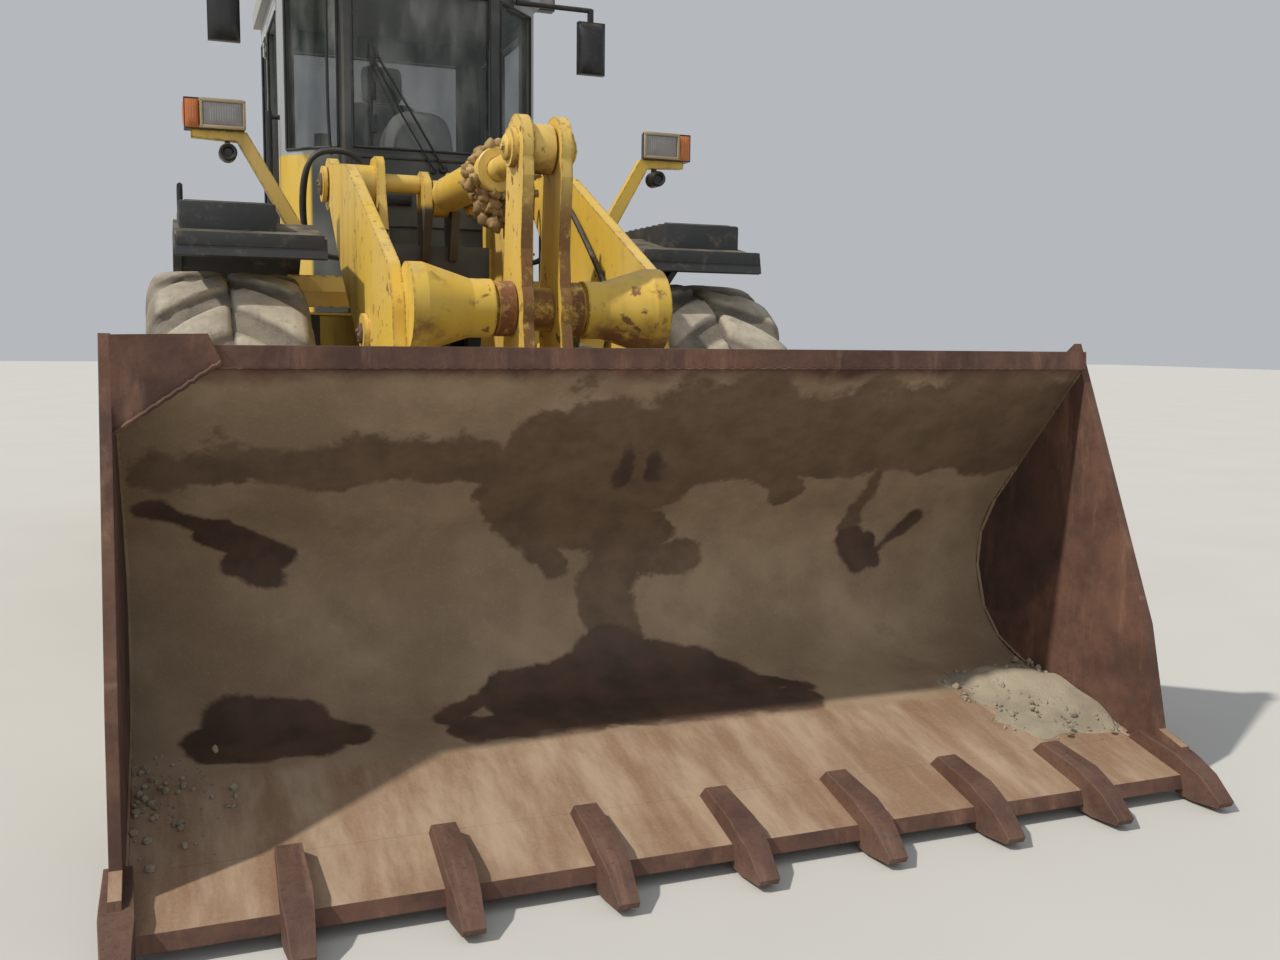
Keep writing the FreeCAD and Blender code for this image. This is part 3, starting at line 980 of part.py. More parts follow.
corner_window = plate("xy", corner_quad("60", "-110"), corner_span)
side_window_y = ("door_back + 75", "cab_back - 85")
side_window = (("cab_half - 90", "cab_half + 20"), side_window_y, ("door_sill_z + 100", "window_top_z - 65"))
door_hole = (("cab_half - 90", "cab_half + 20"), ("door_front", "door_back"),
             ("door_bottom_z", "window_top_z"))
rear_window = (("-560", "560"), ("cab_back - 90", "cab_back + 20"),
               ("door_sill_z + 100", "window_top_z - 65"))
cuts = [box(*front_window), corner_window, mirrored(corner_window), box(*rear_window)]
for hole in (side_window, door_hole):
    one = box(*hole)
    cuts += [one, mirrored(one)]
door_fixed, door_moving = hinge_knuckles(
    "z", ("cab_half + hinge_out", "door_back - 3"), ("door_bottom_z + 160", "window_top_z - 160"),
    (("cab_half - 1", "cab_half + hinge_out"), ("door_back + 1", "door_back + 40")),
    (("cab_half - 1", "cab_half + 10"), ("door_back - 50", "door_back - 3")))
node("cab_shell", fuse(cut(cab_outer, cab_inner, *cuts), *door_fixed, *[mirrored(p) for p in door_fixed]))
node("cab_roof", plate("xy", cab_plan("-roof_overhang"), ("cab_top_z", "cab_top_z + roof_thick"),
                       ((0, "90"), (1, "90"), (4, "90"), (5, "90"))))

pane = "cab_wall / 2"
front_pane = box(front_window[0], (f"cab_front + {pane} - glass / 2", f"cab_front + {pane} + glass / 2"),
                 front_window[2])
corner_pane = plate("xy", corner_quad(f"-{pane} + glass / 2", f"-{pane} - glass / 2"), corner_span)
side_pane = box((f"cab_half - {pane} - glass / 2", f"cab_half - {pane} + glass / 2"), side_window_y,
                side_window[2])
rear_pane = box(rear_window[0], (f"cab_back - {pane} - glass / 2", f"cab_back - {pane} + glass / 2"),
                rear_window[2])
node("cab_glass", group(front_pane, corner_pane, mirrored(corner_pane), side_pane, mirrored(side_pane),
                        rear_pane))

door_plate = box(("cab_half - cab_wall", "cab_half"), ("door_front + door_gap", "door_back - door_gap"),
                 ("door_bottom_z + door_gap", "window_top_z - door_gap"))
door_window_y = ("door_front + 75", "door_back - 75")
door_window_z = ("door_sill_z", "window_top_z - 75")
door_hollow = box(("cab_half - cab_wall - 5", "cab_half + 5"), door_window_y, door_window_z)
side_pair("cab_door", fuse(cut(door_plate, door_hollow), *door_moving))
side_pair("door_glass", box((f"cab_half - {pane} - glass / 2", f"cab_half - {pane} + glass / 2"),
                            door_window_y, door_window_z))

# Inside the cab: seat, and the console with its column and wheel
cushion = box(("-250", "250"), ("cab_front + 720", "cab_front + 1220"),
              ("cab_floor_z + 480", "cab_floor_z + 600"))
seat_base = box(("-180", "180"), ("cab_front + 800", "cab_front + 1160"),
                ("cab_floor_z + cab_wall", "cab_floor_z + 480"))
seat_back = plate("yz", [("cab_front + 1130", "cab_floor_z + 560"), ("cab_front + 1250", "cab_floor_z + 560"),
                         ("cab_front + 1380", "cab_floor_z + 1180"),
                         ("cab_front + 1290", "cab_floor_z + 1190")],
                  ("-230", "230"))
head_rest = plate("yz", [("cab_front + 1290", "cab_floor_z + 1180"),
                         ("cab_front + 1370", "cab_floor_z + 1160"),
                         ("cab_front + 1410", "cab_floor_z + 1380"),
                         ("cab_front + 1330", "cab_floor_z + 1390")],
                  ("-130", "130"))
node("seat", fuse(cushion, seat_base, seat_back, head_rest))

console = plate("yz", [("cab_front + cab_wall", "cab_floor_z + cab_wall"),
                       ("cab_front + 330", "cab_floor_z + cab_wall"),
                       ("cab_front + 300", "cab_floor_z + 800"), ("cab_front + 210", "cab_floor_z + 840")],
                ("-110", "110"))
WHEEL_AT = ("cab_front + 400", "cab_floor_z + 930")
wheel_ring = doc.addObject("Part::Torus", fresh("ring"))
wheel_ring.Placement = Placement(Vector(), Rotation(Vector(1, 0, 0), -28))
bind(wheel_ring, Radius1="195", Radius2="15", Placement__Base__y=WHEEL_AT[0], Placement__Base__z=WHEEL_AT[1])
spokes = doc.addObject("Part::Box", fresh("spokes"))
spokes.Placement = Placement(Vector(), Rotation(Vector(1, 0, 0), -28))
bind(spokes, Length="390", Width="36", Height="14", Placement__Base__x="-195",
     Placement__Base__y=WHEEL_AT[0] + " - 16",
     Placement__Base__z=WHEEL_AT[1] + " - 0")
column = plate("yz", [("cab_front + 215", "cab_floor_z + 700"), ("cab_front + 300", "cab_floor_z + 700"),
                      (WHEEL_AT[0] + " + 24", WHEEL_AT[1] + " - 6"),
                      (WHEEL_AT[0] + " - 30", WHEEL_AT[1] + " + 22")], ("-34", "34"))
node("steering_column", fuse(console, column, spokes, wheel_ring))

# Mirrors and work lamps
mirror_glass = box(("cab_half + 220", "cab_half + 390"), ("cab_front + 120", "cab_front + 160"),
                   ("cab_top_z - 420", "cab_top_z - 110"))
mirror_arm = rod("x", ("cab_front + 150", "cab_top_z - 37"), "15", ("cab_half - 164", "cab_half + 310"))
mirror_drop = box(("cab_half + 290", "cab_half + 320"), ("cab_front + 135", "cab_front + 165"),
                  ("cab_top_z - 150", "cab_top_z - 30"))
node("mirrors", both(fuse(mirror_glass, mirror_arm, mirror_drop)))
cab_lamp = box(("cab_half + roof_overhang", "cab_half + roof_overhang + 110"),
               ("cab_corner_y + 60", "cab_corner_y + 130"),
               ("cab_top_z + 5", "cab_top_z + 95"))
rear_lamp = box(("hood_half - 150", "hood_half - 30"), ("hood_back", "hood_back + 40"),
                ("hood_door_top_z - 150", "hood_door_top_z - 50"))
node("work_lamps", both(group(cab_lamp, rear_lamp)))

# Check every object, then write each node
doc.recompute()
for obj in doc.Objects:
    if "Invalid" in obj.State or "Error" in obj.State:
        print("failed:", obj.Name, obj.Label, obj.State)
os.makedirs("parts", exist_ok=True)
for part in nodes:
    shape = part.Shape
    if shape.isNull() or not shape.isValid():
        print("bad shape:", part.Label)
        continue
    print(f"{part.Label:22s} solids {len(shape.Solids)} volume {shape.Volume / 1e6:9.1f} L")
    shape.exportStep(f"parts/{part.Label}.step")
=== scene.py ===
"""Looks of the wheel loader: materials, small parts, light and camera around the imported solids."""

import json
import math
import random

import bmesh
import bpy
from mathutils import Matrix, Vector, noise


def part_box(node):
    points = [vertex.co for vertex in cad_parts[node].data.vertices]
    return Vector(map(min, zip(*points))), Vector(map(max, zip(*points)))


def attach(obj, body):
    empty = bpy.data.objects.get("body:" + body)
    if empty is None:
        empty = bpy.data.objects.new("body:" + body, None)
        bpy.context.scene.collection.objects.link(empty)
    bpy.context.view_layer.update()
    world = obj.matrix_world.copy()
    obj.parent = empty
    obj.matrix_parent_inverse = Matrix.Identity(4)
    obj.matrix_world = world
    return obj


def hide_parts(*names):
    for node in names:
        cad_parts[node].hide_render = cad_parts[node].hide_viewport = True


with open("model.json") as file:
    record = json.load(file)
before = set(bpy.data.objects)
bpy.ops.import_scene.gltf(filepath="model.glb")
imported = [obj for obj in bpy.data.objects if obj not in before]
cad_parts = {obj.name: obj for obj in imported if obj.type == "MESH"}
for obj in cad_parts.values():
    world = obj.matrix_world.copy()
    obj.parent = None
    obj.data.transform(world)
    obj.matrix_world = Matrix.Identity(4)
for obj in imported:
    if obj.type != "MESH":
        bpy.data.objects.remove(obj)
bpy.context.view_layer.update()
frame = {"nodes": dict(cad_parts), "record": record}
scene = bpy.context.scene
nodes = frame["nodes"]
BODY_OF = {node: body for body, names in frame["record"]["behaviour"]["bodies"].items() for node in names}
random.seed(7)


# ---- node tree helpers
class Tree:
    """A material's node tree, with short calls for the nodes it needs."""

    def __init__(self, name):
        self.mat = bpy.data.materials.new(name)
        self.mat.use_nodes = True
        self.nt = self.mat.node_tree
        self.bsdf = self.nt.nodes["Principled BSDF"]

    def new(self, kind, **values):
        n = self.nt.nodes.new(kind)
        for key, value in values.items():
            setattr(n, key, value)
        return n

    def put(self, socket, value):
        if isinstance(value, bpy.types.NodeSocket):
            self.nt.links.new(value, socket)
        elif value is not None:
            if hasattr(socket.default_value, "__len__") and not hasattr(value, "__len__"):
                value = [value] * len(socket.default_value)
            if hasattr(value, "__len__") and len(value) == 3 and len(socket.default_value) == 4:
                value = (*value, 1)
            socket.default_value = value

    def where(self):
        if not hasattr(self, "coords"):
            self.coords = self.new("ShaderNodeTexCoord").outputs["Object"]
        return self.coords

    def parts_of(self, vector):
        n = self.new("ShaderNodeSeparateXYZ")
        self.put(n.inputs[0], vector)
        return n.outputs[0], n.outputs[1], n.outputs[2]

    def normal(self):
        return self.parts_of(self.new("ShaderNodeNewGeometry").outputs["Normal"])

    def math(self, op, a, b=None, c=None, clamp=False):
        n = self.new("ShaderNodeMath", operation=op, use_clamp=clamp)
        for i, v in enumerate((a, b, c)):
            if v is not None:
                self.put(n.inputs[i], v)
        return n.outputs[0]

    def times(self, *values):
        result = values[0]
        for value in values[1:]:
            result = self.math("MULTIPLY", result, value)
        return result

    def either(self, *values):
        result = values[0]
        for value in values[1:]:
            result = self.math("MAXIMUM", result, value)
        return result

    def vector(self, op, a, b=None, scale=None):
        n = self.new("ShaderNodeVectorMath", operation=op)
        self.put(n.inputs[0], a)
        if b is not None:
            self.put(n.inputs[1], b)
        if scale is not None:
            self.put(n.inputs["Scale"], scale)
        return n.outputs["Value"] if op in ("DOT_PRODUCT", "LENGTH", "DISTANCE") else n.outputs[0]

    def noise(self, scale, detail=4, rough=0.55, stretch=None, shift=0):
        n = self.new("ShaderNodeTexNoise")
        vector = self.where()
        if stretch or shift:
            m = self.new("ShaderNodeMapping")
            self.put(m.inputs["Vector"], vector)
            if stretch:
                m.inputs["Scale"].default_value = stretch
            m.inputs["Location"].default_value = (shift, shift * 0.7, shift * 0.3)
            vector = m.outputs[0]
        self.put(n.inputs["Vector"], vector)
        n.inputs["Scale"].default_value = scale
        n.inputs["Detail"].default_value = detail
        n.inputs["Roughness"].default_value = rough
        return n.outputs["Fac"]

    def ramp(self, value, low, high, invert=False):
        n = self.new("ShaderNodeMapRange", interpolation_type="SMOOTHSTEP")
        self.put(n.inputs[0], value)
        n.inputs["From Min"].default_value = low
        n.inputs["From Max"].default_value = high
        if invert:
            n.inputs["To Min"].default_value, n.inputs["To Max"].default_value = 1, 0
        return n.outputs[0]

    def mix(self, fac, a, b):
        n = self.new("ShaderNodeMix", data_type="RGBA")
        self.put(n.inputs["Factor"], fac)
        self.put(n.inputs["A"], a)
        self.put(n.inputs["B"], b)
        return n.outputs["Result"]

    def edges(self, radius=0.012):
        """1 on sharp edges, 0 on flats, by comparing the bevelled normal with the true one."""
        bevel = self.new("ShaderNodeBevel", samples=6)
        bevel.inputs["Radius"].default_value = radius
        dot = self.vector("DOT_PRODUCT", bevel.outputs[0], self.new("ShaderNodeNewGeometry").outputs["Normal"])
        return self.math("SUBTRACT", 1, self.math("ABSOLUTE", dot), clamp=True)

    def bump(self, height, strength=0.3, distance=0.01, soft=0.004):
        n = self.new("ShaderNodeBump")
        n.inputs["Strength"].default_value = strength
        n.inputs["Distance"].default_value = distance
        self.put(n.inputs["Height"], height)
        if soft:
            bevel = self.new("ShaderNodeBevel", samples=4)
            bevel.inputs["Radius"].default_value = soft
            self.put(n.inputs["Normal"], bevel.outputs[0])
        self.put(self.bsdf.inputs["Normal"], n.outputs[0])

    def done(self, color, rough=0.6, metal=0.0):
        self.put(self.bsdf.inputs["Base Color"], color)
        self.put(self.bsdf.inputs["Roughness"], rough)
        self.put(self.bsdf.inputs["Metallic"], metal)
        return self.mat


RUST = (0.115, 0.045, 0.020)
RUST_LIGHT = (0.23, 0.095, 0.035)
DUST = (0.36, 0.29, 0.19)
YELLOW = (0.67, 0.44, 0.058)
GREY_FRAME = (0.33, 0.35, 0.35)
PANEL_DARK = (0.034, 0.041, 0.037)


def enamel(t, base, wear=0.5, rust=0.5, dust=0.4, gloss=0.42, more_rust=None):
    """Old machine enamel on a tree: faded patches, rust chips along edges, dust on what faces up."""
    fine = t.noise(38, 5, 0.7)
    faded = t.mix(t.times(t.ramp(t.noise(1.7, 3), 0.35, 0.7), 0.10), base, (0.9, 0.86, 0.74))
    streak = t.ramp(t.noise(9, 4, 0.6, stretch=(1, 1, 0.16), shift=3), 0.5, 0.78)
    faded = t.mix(t.times(streak, 0.30), faded, (0.05, 0.035, 0.02))
    chips = t.times(t.ramp(t.edges(0.02), 0.015, 0.22), t.ramp(fine, 0.52 - 0.16 * wear, 0.62))
    patch = t.times(t.ramp(t.noise(5.5, 6, 0.72, shift=9), 0.66 - 0.1 * rust, 0.72),
                    t.ramp(t.noise(26, 4, 0.7), 0.42, 0.6))
    worn = t.either(chips, patch)
    if more_rust is not None:
        worn = t.either(worn, t.times(more_rust, t.ramp(t.noise(13, 6, 0.75, shift=5), 0.30, 0.50)))
    color = t.mix(worn, faded, t.mix(t.noise(60, 3), RUST, RUST_LIGHT))
    up = t.times(t.ramp(t.normal()[2], 0.35, 0.95), t.ramp(t.noise(7, 5, 0.65), 0.3, 0.75), dust)
    color = t.mix(up, color, DUST)
    t.bump(t.math("SUBTRACT", t.times(fine, 0.15), worn), 0.35, 0.002)
    return t.done(color, t.math("ADD", gloss, t.times(t.either(worn, up), 0.4), clamp=True))


def paint(name, base, wear=0.5, rust=0.5, dust=0.4, gloss=0.42):
    return enamel(Tree(name), base, wear, rust, dust, gloss)


def linkage_paint():
    """Yellow paint that has gone brown where the load's spill rubs it: low fronts, collars and pins."""
    t = Tree("linkage_paint")
    x, y, z = t.parts_of(t.where())
    across = t.math("ABSOLUTE", x)
    front = t.times(t.ramp(t.normal()[1], -0.7, -0.2, invert=True), t.ramp(z, 1.85, 2.15, invert=True),
                    t.ramp(across, 0.106, 0.112, invert=True))
    collar = t.times(t.ramp(across, 0.10, 0.115), t.ramp(across, 0.172, 0.186, invert=True),
                     t.ramp(z, 1.36, 1.42), t.ramp(z, 1.68, 1.76, invert=True))
    under = t.times(t.ramp(t.normal()[2], -0.5, 0.1, invert=True), t.ramp(t.noise(3.2, 4, 0.6, shift=7), 0.42, 0.60), 0.9)
    spots = t.times(t.ramp(t.noise(17, 3, 0.5, shift=12), 0.60, 0.66), t.ramp(t.noise(2.1, 3, shift=15), 0.40, 0.60), 0.95)
    return enamel(t, YELLOW, 1.0, 1.0, 0.3, 0.45, more_rust=t.either(t.times(front, 0.9), collar, under, spots))


def tower_paint():
    """The front frame's yellow, with painted shade: near black between the tower plates below the pins."""
    t = Tree("tower_paint")
    x, y, z = t.parts_of(t.where())
    # painted shade: the faces between the tower plates below the pins are coloured near black
    between = t.times(t.ramp(t.math("ABSOLUTE", x), 0.284, 0.292, invert=True), t.ramp(z, 2.10, 2.15, invert=True))
    painted_shade = t.mix(t.noise(6, 5, 0.65), (0.022, 0.022, 0.020), (0.060, 0.052, 0.040))
    return enamel(t, t.mix(between, YELLOW, painted_shade), 0.8, 0.5, 0.35)


def cab_paint(name):
    """The cab: dark window frames and front panel, grey pillars, yellow below, dark grey inside."""
    t = Tree(name)
    x, y, z = t.parts_of(t.where())
    above_sill = t.ramp(z, 2.455, 2.465)
    frames = t.mix(t.ramp(y, 0.20, 0.24), (0.016, 0.017, 0.017), GREY_FRAME)
    in_front = t.times(t.ramp(y, 0.30, 0.32, invert=True), t.ramp(t.math("ABSOLUTE", x), 0.60, 0.62, invert=True))
    outside = t.mix(above_sill, t.mix(in_front, YELLOW, PANEL_DARK), frames)
    middle = Vector((0, 0.85, 2.5))
    from_middle = t.vector("SUBTRACT", t.where(), middle)
    n = t.vector("MULTIPLY", t.new("ShaderNodeNewGeometry").outputs["Normal"], (1, 1, 0))
    outward = t.vector("DOT_PRODUCT", from_middle, n)
    inside = t.ramp(outward, -0.06, -0.02, invert=True)
    return enamel(t, t.mix(inside, outside, (0.10, 0.105, 0.10)), 0.35, 0.2, 0.3, 0.45)


def plain(name, base, rough=0.6, metal=0.0, dust=0.25, grain=60, depth=0.0012, vary=0.25):
    """A moulded, cast or enamelled surface with mottled colour, grain and some dust."""
    t = Tree(name)
    n = t.noise(grain, 4, 0.6)
    color = t.mix(t.ramp(t.noise(4, 4), 0.3, 0.75), base, tuple(c * (1 - vary) for c in base))
    up = t.times(t.ramp(t.normal()[2], 0.2, 0.95), t.ramp(t.noise(9, 4), 0.25, 0.7))
    color = t.mix(t.times(up, dust), color, DUST)
    color = t.mix(t.times(t.ramp(t.noise(14, 5, 0.7, shift=4), 0.52, 0.75), dust * 0.5), color, DUST)
    t.bump(n, 0.4, depth)
    return t.done(color, t.math("ADD", rough - 0.08, t.times(n, 0.18)), metal)


def rusted(name, base, light, scraped, shine=0.0):
    """Bare working steel: mottled rust with streaks and bright scrape marks."""
    t = Tree(name)
    color = t.mix(t.ramp(t.noise(6, 6, 0.7), 0.3, 0.7), base, light)
    color = t.mix(t.times(t.ramp(t.noise(3, 5, 0.6, stretch=(6, 0.5, 0.5)), 0.5, 0.72), 0.6), color, scraped)
    color = t.mix(t.times(t.ramp(t.noise(70, 3, 0.7), 0.5, 0.75), 0.5), color, tuple(c * 0.5 for c in base))
    color = t.mix(t.times(t.ramp(t.edges(0.01), 0.03, 0.35), 0.5), color, scraped)
    t.bump(t.noise(45, 6, 0.7), 0.5, 0.004)
    return t.done(color, 0.72, shine)


# Inside the bucket a place is given by x in metres and by the angle in degrees about the heel's
# curve, 0 at the back, 100 near the lip and -90 on the floor. Each patch: two ends and a half width.
HEEL_CENTRE = (-3.496, 0.590)
WRAP = 0.4
DAMP = [(-0.35, 82, 1.52, 86, 0.12), (-1.47, 81, -0.5, 81, 0.055), (-0.36, 62, 0.05, 62, 0.15),
        (-0.14, 36, 0.08, 30, 0.13), (-0.38, 42, -0.20, 12, 0.05), (0.10, 12, 0.28, 12, 0.055),
        (0.55, 70, 0.62, 58, 0.06), (0.95, 70, 0.94, 26, 0.035), (0.0, 14, -0.01, -30, 0.10)]
WET = [(-0.64, -80, -0.42, -56, 0.045), (-0.42, -56, -0.05, -44, 0.05), (0.05, -44, 0.30, -52, 0.05),
       (0.30, -54, 0.62, -86, 0.045), (-0.56, -92, 0.56, -96, 0.09), (-0.42, -74, 0.44, -78, 0.10),
       (-0.26, -66, 0.26, -68, 0.13), (-0.03, -44, 0.04, -64, 0.13),
       (-1.30, -80, -1.04, -84, 0.12), (-1.24, -66, -1.12, -70, 0.13), (-1.00, -84, -0.94, -86, 0.07),
       (-1.48, 62, -1.3, 46, 0.035), (-1.3, 44, -1.12, 24, 0.06), (-1.23, 22, -1.14, 14, 0.055),
       (0.96, 16, 1.00, 0, 0.058), (1.03, 14, 1.06, 2, 0.045), (1.08, 8, 1.22, 28, 0.024),
       (-0.04, 81, -0.025, 69, 0.028), (0.055, 81, 0.065, 70, 0.026)]


def patches(t, place, table, wander):
    """1 inside any of a table's capsules, with a wandering outline."""
    nearest = None
    for x1, a1, x2, a2, half in table:
        first = Vector((x1, math.radians(a1) * WRAP, 0))
        along = Vector((x2, math.radians(a2) * WRAP, 0)) - first
        offset = t.vector("SUBTRACT", place, first)
        share = t.math("MULTIPLY", t.vector("DOT_PRODUCT", offset, along), 1 / along.length_squared, clamp=True)
        across = t.vector("SUBTRACT", offset, t.vector("SCALE", along, scale=share))
        gap = t.math("SUBTRACT", t.vector("LENGTH", across), half)
        nearest = gap if nearest is None else t.math("MINIMUM", nearest, gap)
    return t.ramp(t.math("ADD", nearest, wander), -0.012, 0.012, invert=True)


def bucket_steel():
    """The bucket: rusty steel, a film of dried mud inside with soaked dark patches, a scraped floor, and painted shade
    on the inner side plates.
    """
    t = Tree("bucket_steel")
    x, y, z = t.parts_of(t.where())
    n_y, n_z = t.normal()[1:]
    fine = t.noise(90, 4, 0.75)
    rust = t.mix(t.ramp(t.noise(5, 6, 0.68), 0.32, 0.7), (0.070, 0.034, 0.024), (0.150, 0.073, 0.047))
    rust = t.mix(t.times(t.ramp(t.noise(11, 5, 0.7, stretch=(1, 1, 0.2)), 0.5, 0.75), 0.6), rust, (0.26, 0.14, 0.09))
    mud = t.mix(t.ramp(t.noise(2.6, 6, 0.62, shift=2), 0.35, 0.7), (0.228, 0.158, 0.095), (0.345, 0.250, 0.158))
    mud = t.mix(t.times(t.ramp(fine, 0.5, 0.8), 0.35), mud, (0.42, 0.36, 0.28))
    mud = t.mix(t.times(t.ramp(t.noise(7, 6, 0.7, shift=8), 0.52, 0.72), 0.35), mud, (0.17, 0.12, 0.075))
    angle = t.math("ARCTAN2", t.math("SUBTRACT", z, HEEL_CENTRE[1]), t.math("SUBTRACT", y, HEEL_CENTRE[0]))
    flat = t.new("ShaderNodeCombineXYZ")
    t.put(flat.inputs[0], x)
    t.put(flat.inputs[1], t.times(angle, WRAP))
    place = flat.outputs[0]
    wander = t.times(t.math("SUBTRACT", t.noise(4.5, 7, 0.62, shift=5), 0.5), 0.22)
    damp, wet = patches(t, place, DAMP, wander), patches(t, place, WET, t.times(wander, 0.7))
    damp_brown = t.mix(t.ramp(t.noise(8, 6, 0.65, shift=11), 0.3, 0.7), (0.095, 0.058, 0.032), (0.155, 0.100, 0.058))
    wet_brown = t.mix(t.ramp(t.noise(7, 5, 0.6), 0.3, 0.7), (0.055, 0.033, 0.022), (0.098, 0.056, 0.037))
    inside = t.mix(wet, t.mix(t.times(damp, 0.92), mud, damp_brown), wet_brown)
    # scraped floor: streaks along the machine, mud left in its back
    floor = t.mix(t.ramp(t.noise(2.4, 6, 0.65, stretch=(3.2, 0.7, 1)), 0.35, 0.68), (0.245, 0.150, 0.088), (0.40, 0.290, 0.195))
    floor = t.mix(t.times(t.ramp(t.noise(1.7, 5, 0.65, stretch=(4, 0.35, 1), shift=6), 0.5, 0.72), 0.5), floor, (0.22, 0.11, 0.06))
    floor = t.mix(t.times(t.ramp(fine, 0.45, 0.8), 0.25), floor, (0.46, 0.37, 0.26))
    on_floor = t.times(t.ramp(n_z, 0.8, 0.95), t.ramp(t.math("ADD", y, t.times(wander, 0.9)), -3.66, -3.58, invert=True))
    inside = t.mix(on_floor, inside, floor)
    # the film is on faces that look forward or up, thins at the lip, and is scraped off the side plates
    facing = t.math("ADD", t.times(n_y, -0.87), t.times(n_z, 0.5))
    low_enough = t.ramp(t.math("ADD", z, t.times(wander, 0.5)), 1.29, 1.345, invert=True)
    off_wall = t.math("ADD", t.times(t.math("ADD", y, 3.686), 0.754), t.times(t.math("SUBTRACT", z, 1.345), 0.657))
    on_wall = t.either(t.ramp(off_wall, -0.02, -0.012), t.ramp(z, 1.08, 1.12, invert=True))
    upward = t.ramp(n_z, 0.8, 0.95)
    within = t.times(t.either(t.ramp(t.math("ABSOLUTE", x), 1.5535, 1.5545, invert=True), t.ramp(y, -4.01, -4.0, invert=True)),
                     t.either(t.ramp(y, -4.01, -4.0), upward))
    film = t.times(t.ramp(facing, 0.1, 0.3), low_enough, on_wall, within, t.ramp(y, -3.13, -3.11, invert=True))
    color = t.mix(film, rust, inside)
    # side plates: painted shade, a dark arch on their inner faces at the back, where the lip and side plates cast
    # shadow
    shade_arch = t.vector("DISTANCE", t.vector("MULTIPLY", t.where(), (0, 1, 1)), (0, -3.22, 0.80))
    shade_arch = t.ramp(t.math("ADD", shade_arch, t.times(wander, 0.4)), 0.40, 0.43, invert=True)
    shaded_side_plate = t.times(shade_arch, t.ramp(t.math("ABSOLUTE", t.normal()[0]), 0.8, 0.9), t.ramp(t.math("ABSOLUTE", x), 1.552, 1.558),
                         t.ramp(t.math("ABSOLUTE", x), 1.57, 1.575, invert=True))
    # painted shade: the inner side plates are coloured near black inside the arch
    color = t.mix(t.times(shaded_side_plate, 0.93), color, (0.030, 0.019, 0.014))
    t.bump(t.math("ADD", t.times(fine, 0.4), t.noise(14, 5, 0.6)), 0.4, 0.006)
    return t.done(color, t.math("SUBTRACT", 0.84, t.times(t.either(wet, t.times(damp, 0.5)), 0.2)))


def tyre_rubber():
    """Worn tyre rubber under dried mud: pale on the lugs' tops, darker and browner in the grooves and on the walls,
    partly painted shade.
    """
    t = Tree("tyre_rubber")
    fine = t.noise(80, 5, 0.7)
    x, y, z = t.parts_of(t.where())
    radius = t.vector("LENGTH", t.vector("MULTIPLY", t.where(), (0, 1, 1)))
    on_top = t.ramp(t.math("ADD", radius, t.times(t.noise(12, 4), 0.012)), 0.832, 0.856)
    on_top = t.times(on_top, t.ramp(t.math("ABSOLUTE", x), 0.33, 0.35, invert=True))
    # partly painted shade: grooves and walls are coloured darker than the lug tops, for the shade in the tread's
    # recesses as well as mud
    groove = t.mix(t.ramp(t.noise(5, 5, 0.65), 0.3, 0.7), (0.115, 0.098, 0.078), (0.24, 0.205, 0.16))
    top = t.mix(t.ramp(t.noise(9, 6, 0.7, shift=3), 0.35, 0.7), (0.33, 0.290, 0.225), (0.47, 0.415, 0.330))
    color = t.mix(on_top, groove, top)
    scuffed = t.times(t.ramp(t.noise(22, 6, 0.75, shift=6), 0.55, 0.72), 0.45)
    color = t.mix(scuffed, color, (0.085, 0.080, 0.072))
    color = t.mix(t.times(t.ramp(fine, 0.45, 0.75), 0.3), color, (0.30, 0.27, 0.22))
    t.bump(t.math("ADD", t.times(fine, 0.5), t.noise(20, 4, 0.6)), 0.5, 0.005, 0)
    return t.done(color, 0.92)


def glass(name, tint, cover, dusty):
    """Dusty glass: a clear tinted sheet with a thin grey film that gathers low on the pane."""
    t = Tree(name)
    film = t.ramp(t.noise(6, 5, 0.6, stretch=(1, 1, 0.4)), 0.35, 0.8)
    t.put(t.bsdf.inputs["Alpha"], t.math("ADD", cover, t.times(film, dusty), clamp=True))
    t.bump(t.noise(2.5, 2), 0.05, 0.004, 0)
    return t.done(t.mix(film, tint, (0.30, 0.31, 0.29)), t.math("ADD", 0.04, t.times(film, 0.10)))


def lens(name, color):
    """A moulded lamp lens: fine ribs under a glossy face."""
    t = Tree(name)
    wave = t.new("ShaderNodeTexWave", wave_type="BANDS", bands_direction="X")
    t.put(wave.inputs["Vector"], t.where())
    wave.inputs["Scale"].default_value = 28
    t.bump(wave.outputs["Fac"], 0.35, 0.002, 0)
    t.put(t.bsdf.inputs["Coat Weight"], 0.4)
    return t.done(t.mix(t.noise(30, 3), color, tuple(c * 0.7 for c in color)), 0.22)


def cloth():
    """Dark seat cloth: a fine weave, worn paler where the driver sits, dusty in the seams."""
    t = Tree("seat_cloth")
    weave = t.times(t.noise(420, 2, stretch=(1, 0.2, 0.2)), t.noise(420, 2, stretch=(0.2, 1, 1)))
    color = t.mix(t.ramp(t.noise(5, 4), 0.35, 0.7), (0.018, 0.019, 0.022), (0.045, 0.045, 0.048))
    color = t.mix(t.times(t.ramp(weave, 0.2, 0.35), 0.3), color, (0.09, 0.09, 0.095))
    t.bump(weave, 0.5, 0.0015, 0)
    t.put(t.bsdf.inputs["Sheen Weight"], 0.25)
    return t.done(color, 0.92)


